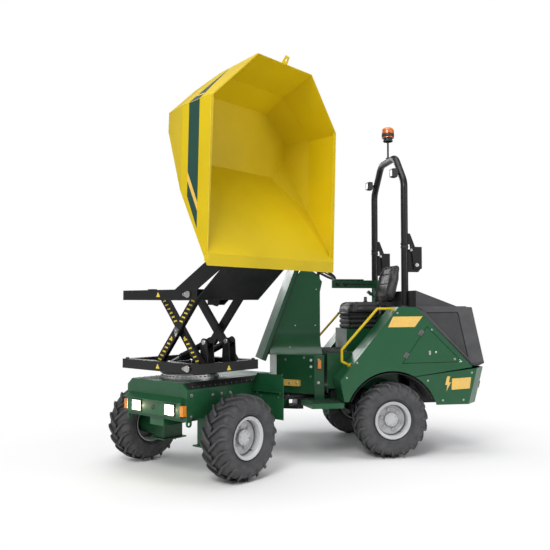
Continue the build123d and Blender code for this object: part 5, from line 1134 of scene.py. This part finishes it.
bellows = bmesh.new()
bellows_place = rear @ Matrix.Translation((-0.825, 0, 1.2))
FOLD_ROWS, FOLD_STEP = 25, 0.006
rows = []
for i in range(FOLD_ROWS):
    fold = 0.0155 * abs(sin(pi * i / 8)) ** 0.6 - 0.006
    rows.append(rounded_ring(bellows_place, 0.145 + fold, 0.195 + fold, 0.035, 0.0005 + i * FOLD_STEP))
loft(bellows, rows)
block(bellows, rear, (-1.05, -0.655), (-0.19, 0.19), (1.3445, 1.3625))
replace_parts(rubber_piece("folded_bellows", bellows, "rear_frame", bevel=0.0015, smooth=50), "seat_bellows")

buckle, buckle_steel, belt, button = shapes(4)
block(buckle_steel, rear, (-0.995, -0.975), (0.2415, 0.2445), (1.35, 1.455))
block(buckle, rear, (-1.003, -0.967), (0.2405, 0.2625), (1.43, 1.505))
block(buckle, rear, (-1.03, -0.95), (-0.285, -0.2425), (1.35, 1.42))
block(buckle_steel, rear, (-1.008, -0.972), (-0.2665, -0.2635), (1.48, 1.53))
add_faces(belt, [[at(rear, x, y, z) for x, y in ((-1.013, -0.266), (-0.967, -0.266), (-0.967, -0.2645),
                                                 (-1.013, -0.2645))] for z in (1.418, 1.45, 1.485)])
bmesh.ops.holes_fill(belt, edges=belt.edges)
block(button, rear, (-0.995, -0.975), (0.2445, 0.2585), (1.503, 1.5075))
webbing = plain("belt_webbing", (0.02, 0.02, 0.022), 0.75, grain=900.0, depth=0.0006)
red_plastic = plain("red_plastic", (0.5, 0.012, 0.01), 0.3)
finish_piece("belt_fittings", buckle, black_plastic, "rear_frame", bevel=0.004, smooth=40)
zinc_piece("belt_steel", buckle_steel, "rear_frame", bevel=0.001, smooth=None)
finish_piece("belt_webbing", belt, webbing, "rear_frame")
finish_piece("buckle_button", button, red_plastic, "rear_frame", bevel=0.001)

# armrest bar: black knobs in rubber sleeves and a padded strip along the top
arm_pad, knobs = shapes(2)
block(arm_pad, rear, (-0.98, -0.64), (-0.318, -0.282), (1.708, 1.722))
for x, z in ((-0.687, 1.668), (-0.773, 1.669)):
    lathe(knobs, at(rear, x, -0.2862, z), rear_left,
          [(0.0, 0.03), (0.013, 0.03), (0.0175, 0.026), (0.019, 0.004), (0.022, 0.0), (0.0, 0.0)], 32)
block(knobs, rear, (-1.1, -0.8), (-0.2855, -0.2835), (1.66, 1.675))
finish_piece("arm_pad", arm_pad, seat_vinyl, "rear_frame", bevel=0.006, smooth=50)
rubber_piece("arm_knobs", knobs, "rear_frame", bevel=0.001, smooth=35)


# ---------------------------------------------------------------- hood and side panels
# Charcoal moulded hood with a raised rim round each side, the rim painted a paler charcoal as a highlight and a
# near-black strip of painted shade in the recess inside it.
# Green side sheets carry blank plates, a hinged triangular door with a quarter-turn latch, and small screws.
def slabs(shape, place, y, thick, corners):
    """The same plate on the left and the right face of some axes, its corners as (x, z)."""
    for side, out in sides(place):
        slab(shape, [at(place, x, side * y, z) for x, z in corners], out * thick)


hood_black = plain("hood_charcoal", (0.03, 0.0305, 0.032), 0.5, grain=380.0, depth=0.0005)
# painted highlight: the raised rim is a paler, glossier copy of the hood's own charcoal
hood_rim_highlight = plain("hood_rim_highlight", (0.05, 0.051, 0.053), 0.36, grain=380.0, depth=0.0004)
# painted shade: near black for the recess just inside the rim
painted_recess_shade = plain("painted_recess_shade", (0.003, 0.003, 0.0032), 0.6, grain=380.0)
dress("hood", hood_black, bevel=0.008)
HOOD_SIDE, PANEL_Y = 0.6118, 0.7
hood_rims, recess_shade_strips = shapes(2)
# the rim from the front round by the top and the tail, as the points outside and inside
rim_path = [((-1.216, 1.43), (-1.318, 1.372)), ((-1.73, 1.43), (-1.647, 1.375)),
            ((-1.798, 1.392), (-1.662, 1.34)), ((-1.916, 0.885), (-1.757, 0.925)),
            ((-1.79, 0.868), (-1.745, 0.94)), ((-1.222, 1.415), (-1.318, 1.372))]
recess_middle = Vector((-1.6, 1.22))
for (start, start_in), (end, end_in) in zip(rim_path, rim_path[1:]):
    slabs(hood_rims, rear, HOOD_SIDE, 0.0075, (start, end, end_in, start_in))
    # a thin near-black strip of painted shade runs inside each length of the rim
    inner = [Vector(corner).lerp(recess_middle, 0.07) for corner in (end_in, start_in)]
    slabs(recess_shade_strips, rear, HOOD_SIDE, 0.0012, (start_in, end_in, *inner))
finish_piece("hood_recess_lines", recess_shade_strips, painted_recess_shade, "hood")
finish_piece("hood_side_rims", hood_rims, hood_rim_highlight, "hood")

for name, thick, bevel, corners in (
    ("blank_yellow_plates", 0.0012, 0.0004,
     ((-0.956, 1.331), (-1.251, 1.333), (-1.173, 1.232), (-0.905, 1.230))),
    ("blank_amber_plates", 0.0012, 0.0004,
     ((-1.545, 0.735), (-1.742, 0.745), (-1.726, 0.638), (-1.54, 0.628))),
    ("bolt_marks", 0.0009, 0.0, ((-1.497, 0.757), (-1.527, 0.757), (-1.513, 0.7), (-1.535, 0.7),
                                 (-1.487, 0.617), (-1.497, 0.677), (-1.475, 0.677))),
):
    shape = bmesh.new()
    slabs(shape, rear, PANEL_Y + 0.0002, thick, corners)
    finish_piece(name, shape, amber_vinyl, "rear_frame", bevel)

hinge_grey = plain("hinge_grey", (0.1, 0.1, 0.102), 0.4, metallic=0.3, grain=300.0)
dress("door_hinges", hinge_grey, bevel=0.001, smooth=35)
dress("battery_block", black_plastic, bevel=0.006)
dress("wheel_liners", black_plastic, bevel=0.001)
latch, panel_screws, liner_clips = shapes(3)
oval = [(-1.322 + 0.0105 * cos(radians(a)), 0.985 + 0.0105 * sin(radians(a)) + (0.011 if a < 180 else -0.011))
        for a in range(0, 360, 20)]
slab(latch, [at(rear, x, 0.6995, z) for x, z in oval], rear_left * 0.005)
block(latch, rear, (-1.3265, -1.3175), (0.704, 0.7075), (0.972, 0.998))
lathe(latch, at(rear, -1.384, 0.6995, 0.99), rear_left,
      [(0.0, 0.0045), (0.0085, 0.0045), (0.0105, 0.0035), (0.011, 0.0), (0.0, 0.0)], 28)
block(latch, rear, (-1.385, -1.383), (0.7035, 0.7055), (0.985, 0.995))
bolt(latch, at(rear, -1.576, PANEL_Y, 0.922), rear_left, 0.007)
zinc_piece("door_latch", latch, "access_door", bevel=0.0006)
side_bolts(panel_screws, rear, PANEL_Y, 0.0065, ((-1.344, 1.205), (-1.0, 1.365), (-0.6, 0.9), (-0.5, 0.76)))
side_bolts(panel_screws, rear, PANEL_Y, 0.007, ((-1.3, 0.72), (-1.75, 0.79), (-1.66, 0.53), (-1.45, 0.53)))
zinc_piece("panel_screws", panel_screws, "rear_frame")
ARCH_RADIUS = 0.4402
for side in (1, -1):
    for angle in (52, 64.5, 78, 103, 122, 134):
        spoke = Vector((cos(radians(angle)), 0, sin(radians(angle))))
        for y in (0.47, 0.6):
            lathe(liner_clips, rear @ (Vector((-0.945, side * y, 0.355)) + spoke * ARCH_RADIUS), -spoke,
                  [(0.0, 0.003), (0.008, 0.0025), (0.0115, 0.0), (0.0, -0.001)], 18)
zinc_piece("liner_clips", liner_clips, "rear_frame", smooth=40)

# tail lamps, red outside and clear inside, and the towing jaws' pin
dress("rear_lamps", amber_plastic, bevel=0.003)
tail_lean = radians(14.67)
tail_back = Vector((-cos(tail_lean), 0, -sin(tail_lean)))
red_lens = lens("red_lens", 0.18, {"Coat Weight": 0.5}, (60.0,), ((0.42, 0.008, 0.006), (0.6, 0.02, 0.012)),
                (260.0, 3.0, (1, 1, 5)), (0.25, 0.001))
FLUTES = (160.0, 3.0, (1, 1, 4))
clear_lens = lens("clear_lens", 0.14, {"Coat Weight": 0.6}, FLUTES, ((0.35, 0.36, 0.37), (0.62, 0.63, 0.64)),
                  FLUTES, (0.3, 0.001))
red_half, white_half, lamp_frame, tow_pin = shapes(4)
for side, out in sides(rear):
    place = stand(at(rear, -1.89, side * 0.47, 0.66) + tail_back * 0.0218, out, tail_back)
    block(red_half, place, (0.002, 0.049), (-0.029, 0.029), (0, 0.0032))
    block(white_half, place, (-0.049, -0.002), (-0.029, 0.029), (0, 0.0032))
    bezel(lamp_frame, place, 0.055, 0.035, 0.0045, (-0.022, 0.004))
finish_piece("tail_lenses", red_half, red_lens, "rear_frame", bevel=0.001)
finish_piece("reversing_lenses", white_half, clear_lens, "rear_frame", bevel=0.001)
finish_piece("tail_lamp_frames", lamp_frame, black_plastic, "rear_frame", bevel=0.001)
TOW_X = -1.975
lathe(tow_pin, at(rear, TOW_X, 0, 0.455), up,
      [(0.0, 0.0), (0.0145, 0.0), (0.0155, 0.004), (0.0155, 0.1055), (0.026, 0.1055), (0.026, 0.112),
       (0.008, 0.116), (0.0, 0.116)], 28)
handle_turns = [pi * i / 12 for i in range(13)]
tube(tow_pin, [at(rear, TOW_X + 0.024 * cos(turn), 0, 0.571 + 0.03 * sin(turn)) for turn in handle_turns], 0.0045)
zinc_piece("tow_pin", tow_pin, "rear_frame", smooth=35)

# ---------------------------------------------------------------- roll bar and lamps
# Bent tube in two lengths that fold on bolted plates, locked by a spring pin each side.
# Work lamps hang from it, and an amber beacon stands on a short stalk.
LEG_X, LEG_Y, TUBE = -1.165, 0.465, 0.0345
collars, fold_bolts, upper_collars, lock_pins = shapes(4)
for side in (1, -1):
    foot = at(rear, LEG_X, side * LEG_Y, 0)
    for shape, z, profile in (
        (collars, 2.004, [(TUBE, 0.0), (0.0385, 0.003), (0.0385, 0.021), (TUBE, 0.024)]),
        (collars, 1.4185, [(TUBE, 0.0), (0.054, 0.0), (0.054, 0.003), (0.04, 0.009), (TUBE, 0.018)]),
        (collars, 2.0285, [(0.0, 0.0), (TUBE, 0.0), (TUBE, 0.0058), (0.0, 0.0058)]),
        (upper_collars, 2.0355, [(TUBE, 0.0), (0.0395, 0.003), (0.0395, 0.02), (TUBE, 0.023)]),
    ):
        lathe(shape, foot + up * z, up, profile, 36)
    for y in (0.011, -0.011):
        weld(upper_collars, foot + Vector((-0.036, y, 2.05)), foot + Vector((-0.036, y, 2.145)))
    for face, out in sides(rear):
        lathe(fold_bolts, at(rear, -1.284, side * LEG_Y + face * 0.0285, 1.838), out,
              [(0.0, 0.002), (0.0118, 0.002), (0.019, 0.0015), (0.019, -0.0045), (0.0, -0.0045)], 24)
        lathe(lock_pins, at(rear, -1.225, side * LEG_Y + face * 0.0235, 1.985), out,
              [(0.0, 0.01), (0.008, 0.01), (0.009, 0.008), (0.009, 0.004), (0.014, 0.004), (0.014, -0.0005),
               (0.0, -0.0005)], 20)
rubber_piece("leg_collars", collars, "rear_frame", smooth=40)
zinc_piece("fold_pin_washers", fold_bolts, "rops")
finish_piece("arch_collars", upper_collars, black_enamel, "rops", smooth=40)
zinc_piece("fold_lock_pins", lock_pins, "rops")

dress("work_lamps", black_plastic, bevel=0.004)
dress("beacon", black_plastic, bevel=0.002, smooth=35)
beacon_amber = lens("beacon_amber", 0.15, {"Coat Weight": 0.6}, (30.0, 3.0, (1, 1, 3)),
                    ((0.42, 0.055, 0.002), (0.75, 0.2, 0.005)), (120.0, 3.0, (1, 1, 0.3)), (0.3, 0.002),
                    limits=(0.35, 0.65))
dress("beacon_lens", beacon_amber, bevel=0.0, smooth=50)
lens_faces, lamp_trim = shapes(2)
WORK_LAMP_Z, FINS, FIN_PITCH = 2.765, 6, 0.0118
for side in (1, -1):
    place = stand(at(rear, -1.066, side * 0.395, WORK_LAMP_Z), rear_left, Vector((1, 0, 0)))
    block(lens_faces, place, (-0.031, 0.031), (-0.031, 0.031), (0.0075, 0.0105))
    bezel(lamp_trim, place, 0.039, 0.039, 0.007, (0, 0.013))
    for i in range(FINS):
        fin = -0.032 + i * FIN_PITCH
        for z in ((0.0385, 0.045), (-0.045, -0.0385)):
            block(lamp_trim, place, (fin, fin + 0.003), z, (-0.042, -0.004))
finish_piece("work_lamp_glass", lens_faces, clear_lens, "rops", bevel=0.001)
finish_piece("work_lamp_trim", lamp_trim, black_plastic, "rops", bevel=0.001)
ribs, base_ring = shapes(2)
beacon_foot = at(rear, LEG_X, 0, 0)
for spoke in circle_points(Vector((0, 0, 0)), Vector((1, 0, 0)), Vector((0, 1, 0)), 1.0, 16):
    place = stand(beacon_foot + spoke * 0.0645 + up * 3.274, up, spoke)
    block(ribs, place, (-0.012, 0.014), (-0.0015, 0.0015), (-0.001, 0.0012))
finish_piece("beacon_ribs", ribs, beacon_amber, "rops", smooth=30)
for z, segments, profile in (
    (3.176, 40, [(0.0, 0.0), (0.0465, 0.0), (0.0525, 0.006), (0.0525, 0.012), (0.0465, 0.016), (0.0, 0.016)]),
    (3.2125, 48, [(0.045, 0.0), (0.06, 0.001), (0.0662, 0.012), (0.0662, 0.046), (0.0655, 0.049),
                  (0.0645, 0.049)]),
    (2.996, 28, [(0.0095, 0.0), (0.024, 0.0), (0.024, 0.005), (0.014, 0.009), (0.0095, 0.024)]),
):
    lathe(base_ring, beacon_foot + up * z, up, profile, segments)
finish_piece("beacon_collars", base_ring, black_plastic, "rops", smooth=35)

# screwed feet of the handrails, on the sloped edge of the side panels
rail_feet, foot_screws = shapes(2)
slope_out, slope_run = Vector((0.767, 0, 0.641)), Vector((-0.641, 0, 0.767))
for side in (1, -1):
    for x, z in ((-0.557, 0.869), (-0.99, 1.387)):
        spot = at(rear, x, side * 0.6, z) + slope_out * 0.0003
        lathe(rail_feet, spot, slope_out, [(0.0, 0.005), (0.016, 0.005), (0.027, 0.005), (0.0285, 0.0035),
                                           (0.0285, 0.0), (0.0, 0.0)], 32)
        for around in circle_points(Vector((0, 0, 0)), slope_run, rear_left, 0.0215, 3):
            add_disc(foot_screws, spot + around + slope_out * 0.005, slope_out, 0.004, 0.0025, 12, 0.003)
finish_piece("rail_feet", rail_feet, yellow_enamel, "rear_frame", smooth=30)
zinc_piece("rail_foot_screws", foot_screws, "rear_frame")
